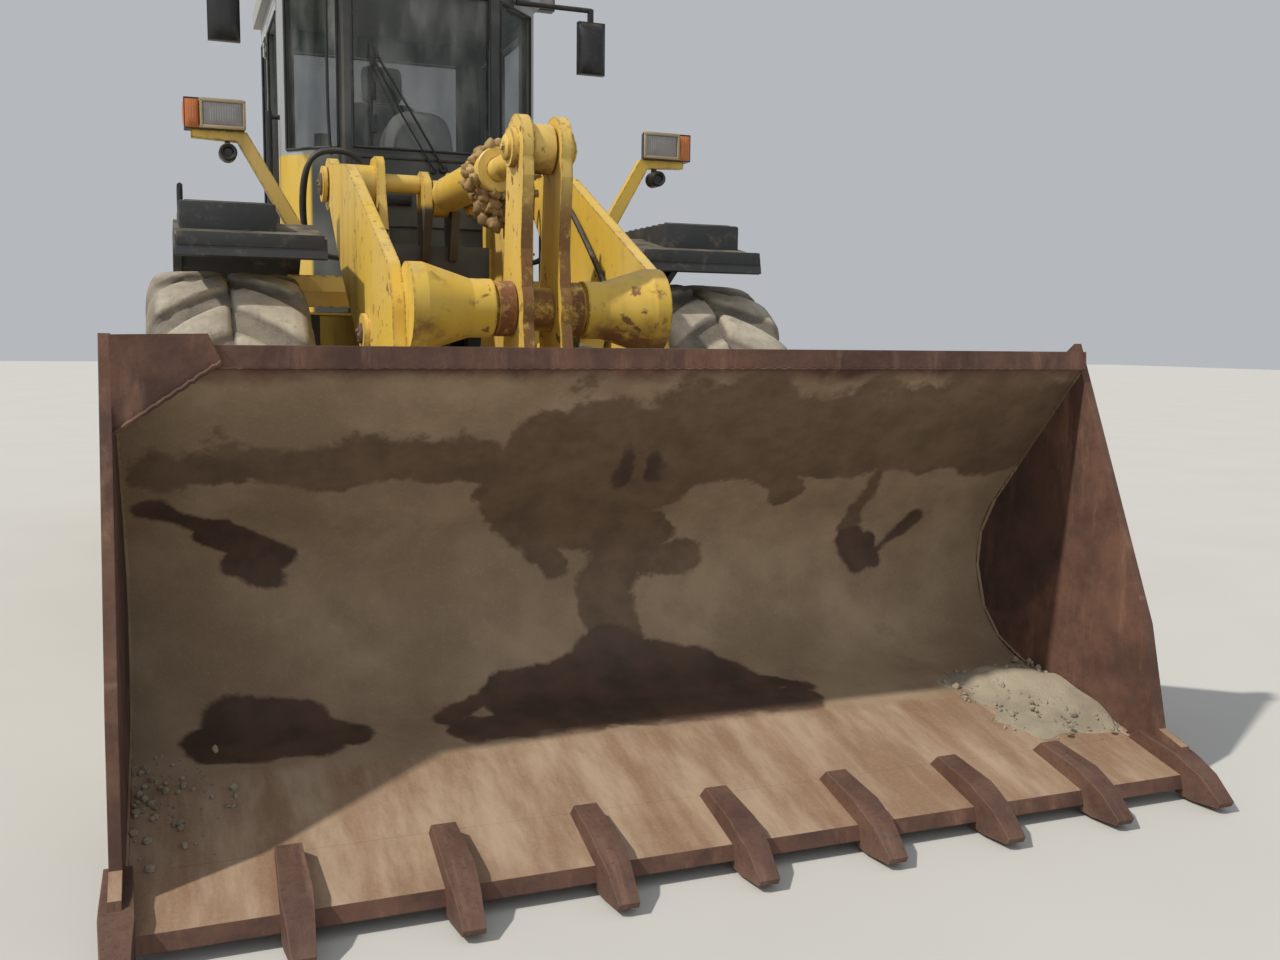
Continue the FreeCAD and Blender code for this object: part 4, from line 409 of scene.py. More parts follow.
m_yellow = paint("yellow_paint", YELLOW, 0.8, 0.5, 0.35)
m_linkage = linkage_paint()
m_tower = tower_paint()
m_cab = cab_paint("cab_paint")
m_fender = plain("fender_paint", (0.030, 0.032, 0.033), 0.6, dust=0.45, grain=90)
m_rim = paint("rim_paint", (0.5, 0.32, 0.06), 0.6, 0.6, 0.8, 0.6)
m_roof = paint("roof_paint", (0.30, 0.31, 0.30), 0.3, 0.2, 0.4, 0.5)
m_dark = plain("frame_paint", (0.03, 0.03, 0.029), 0.6, dust=0.4)
m_black = plain("black_enamel", (0.012, 0.012, 0.013), 0.42, dust=0.22)
m_chrome = plain("rod_chrome", (0.5, 0.5, 0.49), 0.2, 1.0, dust=0.1, depth=0.0003, vary=0.1)
m_console = plain("console_plastic", (0.42, 0.43, 0.42), 0.6, dust=0.15, grain=240)
m_grille = plain("grille_paint", (0.04, 0.04, 0.04), 0.55, dust=0.35)
m_rubber = plain("hose_rubber", (0.014, 0.014, 0.015), 0.55, dust=0.25, grain=200)
m_bolt = rusted("bolt_steel", (0.11, 0.06, 0.035), (0.2, 0.12, 0.07), (0.34, 0.26, 0.18), 0.4)
m_edge = rusted("edge_steel", (0.22, 0.125, 0.07), (0.33, 0.215, 0.135), (0.42, 0.31, 0.2), 0.1)
m_teeth = rusted("tooth_steel", (0.085, 0.043, 0.032), (0.15, 0.08, 0.055), (0.25, 0.145, 0.10), 0.2)
m_brown = rusted("oily_rust", (0.130, 0.066, 0.026), (0.33, 0.19, 0.060), (0.50, 0.34, 0.08))
m_clods = rusted("clotted_dirt", (0.20, 0.115, 0.040), (0.50, 0.345, 0.135), (0.12, 0.06, 0.025))
m_bucket = bucket_steel()
m_tyre = tyre_rubber()
m_glass = glass("cab_glass", (0.028, 0.042, 0.038), 0.30, 0.16)
m_lens = lens("clear_lens", (0.27, 0.25, 0.24))
m_amber = lens("amber_lens", (0.55, 0.15, 0.02))
m_red = lens("red_lens", (0.42, 0.02, 0.015))
m_bezel = plain("lamp_bezel", (0.42, 0.33, 0.19), 0.6, dust=0.3, grain=160)
m_mirror = plain("mirror_face", (0.6, 0.62, 0.63), 0.1, 1.0, dust=0.05, depth=0.0001, vary=0.05)
m_cloth = cloth()
m_sand = plain("loose_sand", (0.40, 0.34, 0.25), 0.95, dust=0.1, grain=95, depth=0.010, vary=0.45)

LOOKS = {"yellow": m_yellow, "fender": m_fender, "tyre": m_tyre, "rim": m_rim, "lamp": m_black, "chrome": m_chrome,
         "bucket": m_bucket, "edge": m_edge, "teeth": m_teeth, "dark": m_dark, "black": m_black, "glass": m_glass,
         "seat": m_cloth, "console": m_console, "grille": m_grille}
SPECIAL = {"front_frame": m_tower, "boom": m_linkage, "lever": m_linkage, "bucket_link": m_linkage, "cab_shell": m_cab, "cab_door_left": m_cab,
           "cab_door_right": m_cab, "cab_roof": m_roof, "cutting_edge": m_bucket, "steering_column": m_black, "tilt_rod": m_linkage}
SLOT_OF = {look.name: slot for slot, look in LOOKS.items()}
SLOT_OF.update({m_linkage.name: "yellow", m_tower.name: "yellow", m_clods.name: "edge", m_cab.name: "yellow", m_roof.name: "yellow", m_rubber.name: "black",
                m_bolt.name: "edge", m_brown.name: "edge", m_lens.name: "lamp", m_amber.name: "lamp",
                m_red.name: "lamp", m_bezel.name: "lamp", m_mirror.name: "chrome", m_sand.name: "edge"})
for row in frame["record"]["subparts"]:
    mesh = nodes[row["node"]].data
    mesh.materials.clear()
    mesh.materials.append(SPECIAL.get(row["node"], LOOKS[row["material_slot"]]))


# ---- mesh helpers
def piece(name, bm, look, body, smooth=38, place=None):
    """Turns a bmesh into a piece of the object that rides on a body."""
    mesh = bpy.data.meshes.new(name)
    bmesh.ops.recalc_face_normals(bm, faces=bm.faces)
    bm.to_mesh(mesh)
    bm.free()
    mesh.shade_smooth()
    mesh.set_sharp_from_angle(angle=math.radians(smooth))
    mesh.materials.append(look)
    obj = bpy.data.objects.new(name, mesh)
    scene.collection.objects.link(obj)
    if place is not None:
        obj.location = place
    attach(obj, body)
    return obj


def block(bm, low, high, bevel=0.006, turn=None):
    """A box with rounded edges between two corners, turned about its middle."""
    low, high = Vector(low), Vector(high)
    size = high - low
    made = bmesh.ops.create_cube(bm, size=1.0)["verts"]
    matrix = Matrix.Translation((high + low) / 2) @ (turn or Matrix.Identity(4)) @ Matrix.Diagonal((*size, 1))
    bmesh.ops.transform(bm, matrix=matrix, verts=made)
    edges = list({e for v in made for e in v.link_edges})
    bmesh.ops.bevel(bm, geom=edges, offset=min(bevel, min(size) * 0.4), segments=2, profile=0.6, affect="EDGES")


def turned(bm, outline, place, direction, steps=24):
    """A turned form: (radius, height) pairs from foot to top, standing on a place along a direction."""
    frame_of = Matrix.Translation(Vector(place)) @ Vector(direction).to_track_quat("Z", "Y").to_matrix().to_4x4()
    rings = []
    for radius, height in outline:
        count = 1 if radius < 1e-6 else steps
        rings.append([bm.verts.new(frame_of @ Vector((radius * math.cos(2 * math.pi * i / steps),
                                                      radius * math.sin(2 * math.pi * i / steps), height)))
                      for i in range(count)])
    for low, high in zip(rings, rings[1:]):
        for i in range(steps):
            j = (i + 1) % steps
            corners = [low[i % len(low)], low[j % len(low)], high[j % len(high)], high[i % len(high)]]
            bm.faces.new(list(dict.fromkeys(corners)))


def bolt(bm, place, direction, radius=0.013):
    """A hexagon head on its washer."""
    turned(bm, [(0, -0.004), (radius * 1.5, -0.004), (radius * 1.5, radius * 0.22), (0, radius * 0.25)], place, direction, 16)
    turned(bm, [(0, 0), (radius, 0.001), (radius, radius * 0.75), (radius * 0.82, radius * 0.9), (0, radius * 0.9)],
           place, direction, 6)


def tube(bm, points, radius, steps=10):
    """A round bar through points, with closed ends."""
    points = [Vector(p) for p in points]
    rings = []
    side = None
    for i, point in enumerate(points):
        ahead = (points[min(i + 1, len(points) - 1)] - points[max(i - 1, 0)]).normalized()
        side = ahead.orthogonal().normalized() if side is None else (side - ahead * side.dot(ahead)).normalized()
        over = ahead.cross(side)
        rings.append([bm.verts.new(point + (side * math.cos(2 * math.pi * k / steps)
                                            + over * math.sin(2 * math.pi * k / steps)) * radius)
                      for k in range(steps)])
    for low, high in zip(rings, rings[1:]):
        for k in range(steps):
            bm.faces.new((low[k], low[(k + 1) % steps], high[(k + 1) % steps], high[k]))
    bm.faces.new(rings[0])
    bm.faces.new(rings[-1])


def hose(name, points, radius, body, look=None):
    """A hose or wire that is clamped at both ends to one body, as a smooth curve."""
    curve = bpy.data.curves.new(name, "CURVE")
    curve.dimensions = "3D"
    curve.bevel_depth, curve.bevel_resolution, curve.use_fill_caps = radius, 3, True
    curve.resolution_u = 8
    line = curve.splines.new("NURBS")
    line.points.add(len(points) - 1)
    for knot, place in zip(line.points, points):
        knot.co = (*place, 1)
    line.order_u, line.use_endpoint_u = 3, True
    look = look or m_rubber
    curve.materials.append(look)
    obj = bpy.data.objects.new(name, curve)
    scene.collection.objects.link(obj)
    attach(obj, body)
    return obj


def bulged(bm, corner, u_side, v_side, bulge, steps=10):
    """A crowned panel over a parallelogram, with its rim closed down to the corner's plane."""
    corner, u_side, v_side = Vector(corner), Vector(u_side), Vector(v_side)
    out = u_side.cross(v_side).normalized()
    grid = []
    for i in range(steps + 1):
        row = []
        for j in range(steps + 1):
            u, v = i / steps, j / steps
            lift = bulge * (1 - (2 * u - 1) ** 4) * (1 - (2 * v - 1) ** 4)
            row.append(bm.verts.new(corner + u_side * u + v_side * v + out * lift))
        grid.append(row)
    for i in range(steps):
        for j in range(steps):
            bm.faces.new((grid[i][j], grid[i + 1][j], grid[i + 1][j + 1], grid[i][j + 1]))
    rim = [grid[i][0] for i in range(steps)] + [grid[steps][j] for j in range(steps)]
    rim += [grid[i][steps] for i in range(steps, 0, -1)] + [grid[0][j] for j in range(steps, 0, -1)]
    foot = [bm.verts.new(v.co - out * 0.003) for v in rim]
    for k in range(len(rim)):
        bm.faces.new((rim[k - 1], rim[k], foot[k], foot[k - 1]))
    bm.faces.new(foot)


def on_skin(start, direction, names):
    """The nearest hit of a ray on some CAD nodes: its place, its normal and the node's name."""
    best = None
    for name in names:
        hit, place, normal, index = nodes[name].ray_cast(Vector(start), Vector(direction))
        if hit and (best is None or (place - Vector(start)).length < (best[0] - Vector(start)).length):
            best = (place, normal, name)
    return best


def sides(name):
    """The name's two sides with their sign: +1 on the machine's left."""
    return ((f"{name}_left", 1), (f"{name}_right", -1))


# ---- tyres: a full section with thick curved lugs, worn round at their edges
rim_low, rim_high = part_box("rim_front_left")
tyre_low, tyre_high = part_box("tyre_front_left")
TYRE_RADIUS = (tyre_high.z - tyre_low.z) / 2
TYRE_HALF = (tyre_high.x - tyre_low.x) / 2 - 0.006
BEAD_RADIUS = (rim_high.z - rim_low.z) / 2 - 0.024
TREAD_DEPTH = 0.042
PITCHES = 16
COLUMNS_PER_PITCH = 24
# half-width share, radius share from bead to tread base, lug height share
SECTION = [(0.735, 0.00, 0), (0.90, 0.14, 0), (0.975, 0.38, 0), (0.985, 0.60, 0.1), (0.955, 0.79, 0.75), (0.90, 0.92, 1),
           (0.80, 0.985, 1), (0.42, 1.0, 1), (0.08, 1.0, 0.95), (0.0, 0.995, 0)]


def smooth_table(table, steps=3):
    """A Catmull-Rom curve through a table's rows."""
    rows = [table[0]] + list(table) + [table[-1]]
    result = []
    for i in range(1, len(rows) - 2):
        for k in range(steps):
            s = k / steps
            result.append(tuple(0.5 * (2 * b + (c - a) * s + (2 * a - 5 * b + 4 * c - d) * s * s
                                       + (3 * b - a - 3 * c + d) * s ** 3)
                                for a, b, c, d in zip(rows[i - 1], rows[i], rows[i + 1], rows[i + 2])))
    return result + [tuple(table[-1])]


def step01(value):
    value = min(1, max(0, value))
    return value * value * (3 - 2 * value)


def tyre_piece(name, hand, centre, body):
    half_section = smooth_table(SECTION)
    section = [(-s, h, g) for s, h, g in half_section] + [(s, h, g) for s, h, g in reversed(half_section[:-1])]
    columns = PITCHES * COLUMNS_PER_PITCH
    base = TYRE_RADIUS - TREAD_DEPTH
    wear = random.Random(len(name))
    lug_wear = {(side, k): wear.uniform(0.86, 1.0) for side in (-1, 1) for k in range(PITCHES)}
    bm = bmesh.new()
    rings = []
    for index, (share, height, lug) in enumerate(section):
        before, after = section[max(index - 1, 0)], section[min(index + 1, len(section) - 1)]
        flow = Vector(((after[0] - before[0]) * TYRE_HALF, (after[1] - before[1]) * (base - BEAD_RADIUS)))
        out = Vector((-flow.y, flow.x)).normalized()
        side = 1 if share > 0 else -1
        away = min(1, abs(share))
        sweep = 0.85 * (away ** 1.4 - 0.86 ** 1.4)
        ring = []
        for column in range(columns):
            phase = column / COLUMNS_PER_PITCH - (0.5 if side > 0 else 0)
            lug_number = int(round(phase)) % PITCHES
            off = abs(phase - round(phase))
            angle = 2 * math.pi * (column / COLUMNS_PER_PITCH + sweep) / PITCHES - math.pi / 2
            radius = BEAD_RADIUS + (base - BEAD_RADIUS) * height
            spot = Vector((share, math.cos(angle), math.sin(angle)))
            ragged = noise.noise(spot * 7) * 0.02
            raised = step01((0.345 + ragged - off) / 0.10) * max(0, lug) * lug_wear[side, lug_number]
            raised *= 1 - 0.45 * step01((noise.noise(spot * 4.5 + Vector((9, 0, 0))) - 0.25) / 0.2) * step01((off - 0.12) / 0.12)
            lift = (TREAD_DEPTH - 0.002) * raised + noise.noise(spot * 26) * 0.0022
            x = share * TYRE_HALF + out.x * lift * 0.5
            radius += max(out.y, 0) * lift
            ring.append(bm.verts.new((hand * x, radius * math.cos(angle), radius * math.sin(angle))))
        rings.append(ring)
    for low, high in zip(rings, rings[1:] + rings[:1]):
        for i in range(columns):
            j = (i + 1) % columns
            bm.faces.new((low[i], low[j], high[j], high[i]))
    tyre = piece(name + "_tread", bm, m_tyre, body, smooth=55, place=centre)
    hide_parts(name)


def wheel_fittings(corner, hand, centre, body):
    """Wheel nuts, hub bolts and the lock ring."""
    bm = bmesh.new()
    outward = Vector((hand, 0, 0))
    nodes_here = ["rim_" + corner]
    for count, radius, size in ((16, 0.222, 0.014), (10, 0.150, 0.011), (6, 0.062, 0.010)):
        for k in range(count):
            angle = 2 * math.pi * (k + 0.5) / count
            start = centre + Vector((hand * 0.9, radius * math.cos(angle), radius * math.sin(angle)))
            found = on_skin(start, -outward, nodes_here)
            if found:
                bolt(bm, found[0], outward, size)
    piece(f"wheel_nuts_{corner}", bm, m_bolt, body)
    bm = bmesh.new()
    edge = rim_high.x - (tyre_low.x + tyre_high.x) / 2
    turned(bm, [(0.300, -0.030), (0.322, -0.012), (0.338, -0.004), (0.349, 0.0), (0.345, 0.006), (0.330, 0.004), (0.312, -0.012),
                (0.300, -0.030)], centre + outward * (edge - 0.001), outward, 64)
    turned(bm, [(0, 0), (0.006, 0), (0.005, 0.035), (0, 0.036)], centre + Vector((hand * (edge - 0.04), 0.0, 0.302)),
           (hand * 0.9, 0, -0.4), 8)
    piece(f"lock_ring_{corner}", bm, m_rim, body)


for corner in ("front_left", "front_right", "rear_left", "rear_right"):
    low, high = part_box("tyre_" + corner)
    centre = (low + high) / 2
    centre.z = low.z + TYRE_RADIUS
    hand = 1 if centre.x > 0 else -1
    body = BODY_OF["tyre_" + corner]
    tyre_piece("tyre_" + corner, hand, centre, body)
    wheel_fittings(corner, hand, centre, body)

# ---- lamps
lamp_low, lamp_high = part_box("head_lamps")
LAMP_FRONT = lamp_low.y
LAMP_Z = (2.405, 2.536)
CLEAR_X, AMBER_X = (1.034, 1.226), (1.238, 1.300)
TAIL_X = 0.640
for side_name, s in (("left", 1), ("right", -1)):
    bm = bmesh.new()
    block(bm, (s * 1.130 - 0.104, LAMP_FRONT - 0.010, LAMP_Z[0] - 0.004), (s * 1.130 + 0.104, LAMP_FRONT + 0.004, LAMP_Z[0] + 0.012), 0.005)
    block(bm, (s * 1.130 - 0.104, LAMP_FRONT - 0.010, LAMP_Z[1] - 0.012), (s * 1.130 + 0.104, LAMP_FRONT + 0.004, LAMP_Z[1] + 0.004), 0.005)
    for x in (s * 1.130 - 0.104, s * 1.130 + 0.090):
        block(bm, (x, LAMP_FRONT - 0.010, LAMP_Z[0]), (x + 0.014, LAMP_FRONT + 0.004, LAMP_Z[1]), 0.005)
    for z in (LAMP_Z[0] + 0.004, LAMP_Z[1] - 0.004):
        bolt(bm, (s * 1.232, LAMP_FRONT + 0.008, z), (0, -1, 0), 0.005)
    piece(f"lamp_bezel_{side_name}", bm, m_bezel, "front_body")
    bm = bmesh.new()
    low_x, high_x = sorted(s * v for v in CLEAR_X)
    bulged(bm, (low_x + 0.008, LAMP_FRONT - 0.001, LAMP_Z[0] + 0.008), (high_x - low_x - 0.016, 0, 0), (0, 0, LAMP_Z[1] - LAMP_Z[0] - 0.016), 0.007)
    piece(f"lamp_lens_{side_name}", bm, m_lens, "front_body")
    bm = bmesh.new()
    low_x, high_x = sorted(s * v for v in AMBER_X)
    bulged(bm, (low_x, LAMP_FRONT + 0.009, LAMP_Z[0] - 0.002), (high_x - low_x, 0, 0), (0, 0, LAMP_Z[1] - LAMP_Z[0]), 0.012)
    if s > 0:
        bulged(bm, (1.3045, -0.798, LAMP_Z[0]), (0, 0.084, 0), (0, 0, LAMP_Z[1] - LAMP_Z[0]), 0.008)
    else:
        bulged(bm, (-1.3045, -0.714, LAMP_Z[0]), (0, -0.084, 0), (0, 0, LAMP_Z[1] - LAMP_Z[0]), 0.008)
    piece(f"indicator_lens_{side_name}", bm, m_amber, "front_body")
    # horn mouth below the lamp arm
    bm = bmesh.new()
    turned(bm, [(0, 0.004), (0.018, 0.004), (0.024, 0.016), (0.036, 0.020), (0.040, 0.014), (0.0405, -0.004), (0, -0.004)],
           (s * 1.110, -0.810, 2.296), (0, -1, 0), 24)
    piece(f"horn_mouth_{side_name}", bm, m_black, "front_body")
    # work lamps on the roof edge and at the hood's rear, tail lamps on the counterweight
    bm = bmesh.new()
    work = on_skin((s * 0.860, 0.0, 3.500), (0, 1, 0), ["work_lamps"])
    bulged(bm, (s * 0.860 - 0.048, work[0].y + 0.001, 3.462), (0.096, 0, 0), (0, 0, 0.076), 0.008)
    rear = on_skin((s * 0.630, 4.6, 2.140), (0, -1, 0), ["work_lamps"])
    bulged(bm, (s * 0.630 + 0.052, rear[0].y - 0.001, 2.096), (-0.104, 0, 0), (0, 0, 0.088), 0.008)
    piece(f"work_lens_{side_name}", bm, m_lens, "rear_body")
    outer, inner = (on_skin((s * TAIL_X + step, 4.8, 1.250), (0, -1, 0), ["counterweight"])[0] for step in (0.12, -0.12))
    across = inner - outer
    bm = bmesh.new()
    bulged(bm, outer + Vector((0, 0.0025, -0.065)), across, (0, 0, 0.130), 0.006)
    piece(f"tail_plate_{side_name}", bm, m_black, "rear_body")
    bm = bmesh.new()
    bulged(bm, outer + across * 0.06 + Vector((0, 0.009, -0.052)), across * 0.88, (0, 0, 0.104), 0.008)
    piece(f"tail_lens_{side_name}", bm, m_red, "rear_body")
    # mirrors: a crowned shell in front and the glass behind
    bm = bmesh.new()
    mirror = on_skin((s * 1.065, -0.5, 3.180), (0, 1, 0), ["mirrors"])
    bulged(bm, (s * 1.065 - 0.084, mirror[0].y + 0.001, 3.034), (0.168, 0, 0), (0, 0, 0.302), 0.034, 14)
    piece(f"mirror_shell_{side_name}", bm, m_black, "rear_body", 60)
    bm = bmesh.new()
    back = on_skin((s * 1.065, 0.8, 3.180), (0, -1, 0), ["mirrors"])
    bulged(bm, (s * 1.065 + 0.074, back[0].y - 0.001, 3.045), (-0.148, 0, 0), (0, 0, 0.280), 0.005)
    piece(f"mirror_face_{side_name}", bm, m_mirror, "rear_body")

# ---- cab: window seals, wipers, panel handle, door handles, instrument cowl
CAB_HALF, CAB_FRONT, NOSE_HALF, CORNER_Y = 0.760, 0.060, 0.440, 0.400
SILL, WINDOW_TOP = 2.490, 3.375
SEAL = 0.016


def seal_frame(bm, corner, along, up, out):
    """Four rounded strips around an opening that starts at corner and spans along and up."""
    corner, along, up, out = Vector(corner), Vector(along), Vector(up), Vector(out)
    for start, run in ((corner, along), (corner + up, along), (corner, up), (corner + along, up)):
        tube(bm, [start + run * (k / 8) + out * 0.001 for k in range(9)], SEAL / 2, 8)


bm = bmesh.new()
seal_frame(bm, (-0.395, CAB_FRONT, SILL), (0.790, 0, 0), (0, 0, WINDOW_TOP - SILL), (0, -1, 0))
for s in (1, -1):
    start = Vector((s * (NOSE_HALF + 0.1 * (CAB_HALF - NOSE_HALF)), CAB_FRONT + 0.1 * (CORNER_Y - CAB_FRONT), SILL))
    along = Vector((s * 0.8 * (CAB_HALF - NOSE_HALF), 0.8 * (CORNER_Y - CAB_FRONT), 0))
    seal_frame(bm, start, along, (0, 0, WINDOW_TOP - SILL), (s * 0.7, -0.7, 0))
    seal_frame(bm, (s * CAB_HALF, 1.265, 2.150), (0, 0.290, 0), (0, 0, WINDOW_TOP - 2.215), (s, 0, 0))
seal_frame(bm, (-0.560, 1.640, 2.150), (1.120, 0, 0), (0, 0, WINDOW_TOP - 2.215), (0, 1, 0))
piece("window_seals", bm, m_rubber, "rear_body")
for name, s in sides("cab_door"):
    bm = bmesh.new()
    seal_frame(bm, (s * CAB_HALF, 0.545, 2.050), (0, 0.570, 0), (0, 0, WINDOW_TOP - 2.125), (s, 0, 0))
    piece(f"{name}_seal", bm, m_rubber, BODY_OF[name])
    bm = bmesh.new()
    block(bm, (s * 0.7635 - 0.004, 0.490, 1.930), (s * 0.7635 + 0.004, 0.640, 1.985), 0.004)
    tube(bm, [(s * 0.765, 0.505, 1.957), (s * 0.795, 0.515, 1.957), (s * 0.800, 0.560, 1.957), (s * 0.795, 0.615, 1.957),
              (s * 0.765, 0.625, 1.957)], 0.009, 10)
    piece(f"{name}_handle", bm, m_black, BODY_OF[name])

WIPER_PIVOT, WIPER_TIP = Vector((0.115, 0.032, 2.392)), Vector((-0.262, 0.026, 2.995))
bm = bmesh.new()
turned(bm, [(0, -0.03), (0.026, -0.03), (0.026, 0.004), (0.018, 0.014), (0, 0.015)], WIPER_PIVOT + Vector((0, 0.020, 0)), (0, -1, 0), 20)
turned(bm, [(0, -0.03), (0.018, -0.03), (0.018, 0.004), (0, 0.010)], WIPER_PIVOT + Vector((-0.055, 0.020, -0.012)), (0, -1, 0), 16)
tube(bm, [WIPER_PIVOT, WIPER_PIVOT.lerp(WIPER_TIP, 0.5) + Vector((0, -0.012, 0)), WIPER_TIP], 0.007, 8)
shift = Vector((-0.055, 0, -0.012))
tube(bm, [WIPER_PIVOT + shift, WIPER_PIVOT.lerp(WIPER_TIP, 0.5) + shift + Vector((0, -0.012, 0)), WIPER_TIP + shift * 0.45], 0.006, 8)
block(bm, (-0.300, 0.030, 2.500), (-0.286, 0.046, 3.075), 0.004)
for z in (2.62, 2.80, 2.98):
    block(bm, (-0.296, 0.022, z - 0.05), (-0.268, 0.034, z + 0.05), 0.003)
piece("wiper", bm, m_black, "rear_body")

bm = bmesh.new()
block(bm, (-0.245, 0.036, 2.176), (-0.070, 0.058, 2.236), 0.012)
for z in (1.72, 2.36):
    for x in (-0.40, 0.40):
        bolt(bm, (x, 0.060, z), (0, -1, 0), 0.012)
piece("front_panel_handle", bm, m_black, "rear_body")
bm = bmesh.new()
for x in (-0.415, 0.415):
    block(bm, (x - 0.006, 0.050, 1.60), (x + 0.006, 0.0615, 2.44), 0.003)
block(bm, (-0.420, 0.050, 2.432), (0.420, 0.0615, 2.446), 0.003)
block(bm, (-0.420, 0.050, 2.050), (0.420, 0.0615, 2.060), 0.003)
piece("front_panel_joints", bm, m_black, "rear_body")


def cowl_outline(share):
    """Height and half width of the instrument cowl from its front (0) to its back (1)."""
    return 0.29 * math.sin(math.pi * (0.16 + 0.55 * share)), 0.225 * (0.72 + 0.28 * share)


bm = bmesh.new()
rows = []
for i in range(13):
    share = i / 12
    rise, half = cowl_outline(share)
    row = []
    for k in range(17):
        a = math.pi * k / 16
        row.append(bm.verts.new((0.02 - half * math.copysign(abs(math.cos(a)) ** 0.6, math.cos(a)), 0.135 + 0.22 * share,
                                 2.455 + rise * abs(math.sin(a)) ** 0.6)))
    rows.append(row)
for low_row, high_row in zip(rows, rows[1:]):
    for k in range(16):
        bm.faces.new((low_row[k], low_row[k + 1], high_row[k + 1], high_row[k]))
bm.faces.new(rows[0])
bm.faces.new(rows[-1])
bmesh.ops.bevel(bm, geom=[e for e in bm.edges if e.verts[0] in rows[-1] and e.verts[1] in rows[-1]], offset=0.012, segments=2,
                affect="EDGES")
block(bm, (-0.14, 0.14, 1.66), (0.18, 0.29, 2.47), 0.03)
piece("instrument_cowl", bm, m_console, "rear_body", 50)

# ---- seat: crowned pads with seams on a sprung base
seat_low, seat_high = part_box("seat")


def pad(name, size, crown, channels, place, tilt):
    """A crowned cushion: X wide, Y deep and Z thick, with sewn channels along Y and piping at its seam."""
    bm = bmesh.new()
    bmesh.ops.create_cube(bm, size=2.0)
    bmesh.ops.subdivide_edges(bm, edges=bm.edges[:], cuts=15, use_grid_fill=True)
    width, deep, thick = (v / 2 for v in size)
    for v in bm.verts:
        u, w, h = v.co
        pull = 1 - 0.05 * (abs(h) ** 3) - 0.035 * (1 - abs(u * w))
        corner = 1 - 0.10 * (abs(u) ** 6) * (abs(w) ** 6)
        top = 1 + (crown / thick) * (1 - u * u) * (1 - w * w) if h > 0 else 1
        groove = sum(math.exp(-((u - c) / 0.035) ** 2) for c in channels) if h > 0.5 else 0
        edge = 0.16 * (abs(u) ** 8 + abs(w) ** 8)
        v.co = Vector((u * width * pull * corner, w * deep * pull * corner,
                       h * thick * (top - edge * (h > 0)) - groove * 0.009 * (abs(w) < 0.93)))
    matrix = Matrix.Translation(place) @ Matrix.Rotation(tilt, 4, "X")
    bmesh.ops.transform(bm, matrix=matrix, verts=bm.verts)
    obj = piece(name, bm, m_cloth, "rear_body", 80)
    obj.modifiers.new("soft", "SUBSURF").levels = 1
    obj.modifiers["soft"].render_levels = 1
    bm = bmesh.new()
    ring = []
    for k in range(49):
        a = 2 * math.pi * k / 48
        c, s_ = math.cos(a), math.sin(a)
        ring.append(matrix @ Vector((math.copysign(abs(c) ** 0.28, c) * width * 0.955, math.copysign(abs(s_) ** 0.28, s_) * deep * 0.955,
                                     thick * 0.66)))
    tube(bm, ring, 0.005, 8)
    piece(name + "_piping", bm, m_black, "rear_body")
    return obj


cushion = pad("seat_cushion", (0.49, 0.48, 0.115), 0.022, (-0.55, 0.55), (0, 1.030, 2.095), 0.0)
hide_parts("seat")
pad("seat_back", (0.48, 0.88, 0.095), 0.018, (-0.55, 0.0, 0.55), (0, 1.340, 2.560), math.radians(78.5))
pad("head_rest", (0.27, 0.24, 0.085), 0.012, (), (0, 1.462, 3.110), math.radians(78.5))
bm = bmesh.new()
for k in range(6):
    z = 1.70 + 0.052 * k
    block(bm, (-0.165 + 0.008 * (k % 2), 0.875 + 0.008 * (k % 2), z), (0.165 - 0.008 * (k % 2), 1.205 - 0.008 * (k % 2), z + 0.050), 0.014)
block(bm, (-0.175, 0.865, 1.620), (0.175, 1.215, 1.700), 0.008)
block(bm, (-0.200, 0.830, 2.010), (0.200, 1.230, 2.042), 0.008)
for x in (-0.045, 0.045):
    tube(bm, [(x, 1.428, 2.93), (x, 1.448, 3.05)], 0.007, 8)
piece("seat_base", bm, m_black, "rear_body")

# ---- front fenders: the raised tread boxes and their rims
for side_name, s in (("left", 1), ("right", -1)):
    bm = bmesh.new()
    top = on_skin((s * 1.13, -1.02, 2.6), (0, 0, -1), ["front_fenders"])[0].z
    block(bm, (s * 1.145 - 0.205, -1.34, top - 0.11), (s * 1.145 + 0.205, -0.72, top + 0.060), 0.014)
    for k in range(7):
        y = -1.28 + k * 0.085
        block(bm, (s * 1.145 - 0.180, y, top + 0.058), (s * 1.145 + 0.180, y + 0.022, top + 0.068), 0.004)
    front = on_skin((s * 0.98, -2.2, 1.835), (0, 1, 0), ["front_fenders"])
    if front:
        block(bm, (s * 1.06 - 0.305, front[0].y - 0.012, 1.800), (s * 1.06 + 0.305, front[0].y + 0.022, 1.862), 0.008)
    piece(f"fender_box_{side_name}", bm, m_fender, "front_body")

# ---- pins: caps and keeper bolts where the pins end on the boom, the bucket and the frames
PINS = [(-0.300, 2.230, 0.058), (-2.910, 0.400, 0.048), (-0.200, 1.230, 0.045), (-1.600, 1.440, 0.045)]
caps = {}
for y, z, radius in PINS:
    for s in (1, -1):
        found = on_skin((s * 1.0, y, z), (-s, 0, 0), ["boom", "front_frame", "bucket_shell"])
        if found:
            bm = caps.setdefault(BODY_OF[found[2]], bmesh.new())
            turned(bm, [(0, -0.004), (radius, -0.004), (radius, 0.010), (radius * 0.9, 0.014), (0, 0.014)], found[0], (s, 0, 0), 28)
            for a in (0.4, 0.4 + math.pi):
                bolt(bm, found[0] + Vector((s * 0.013, radius * 0.55 * math.cos(a), radius * 0.55 * math.sin(a))), (s, 0, 0), 0.011)
for body, bm in caps.items():
    piece(f"pin_caps_{body}", bm, m_bolt, body)
bm = bmesh.new()
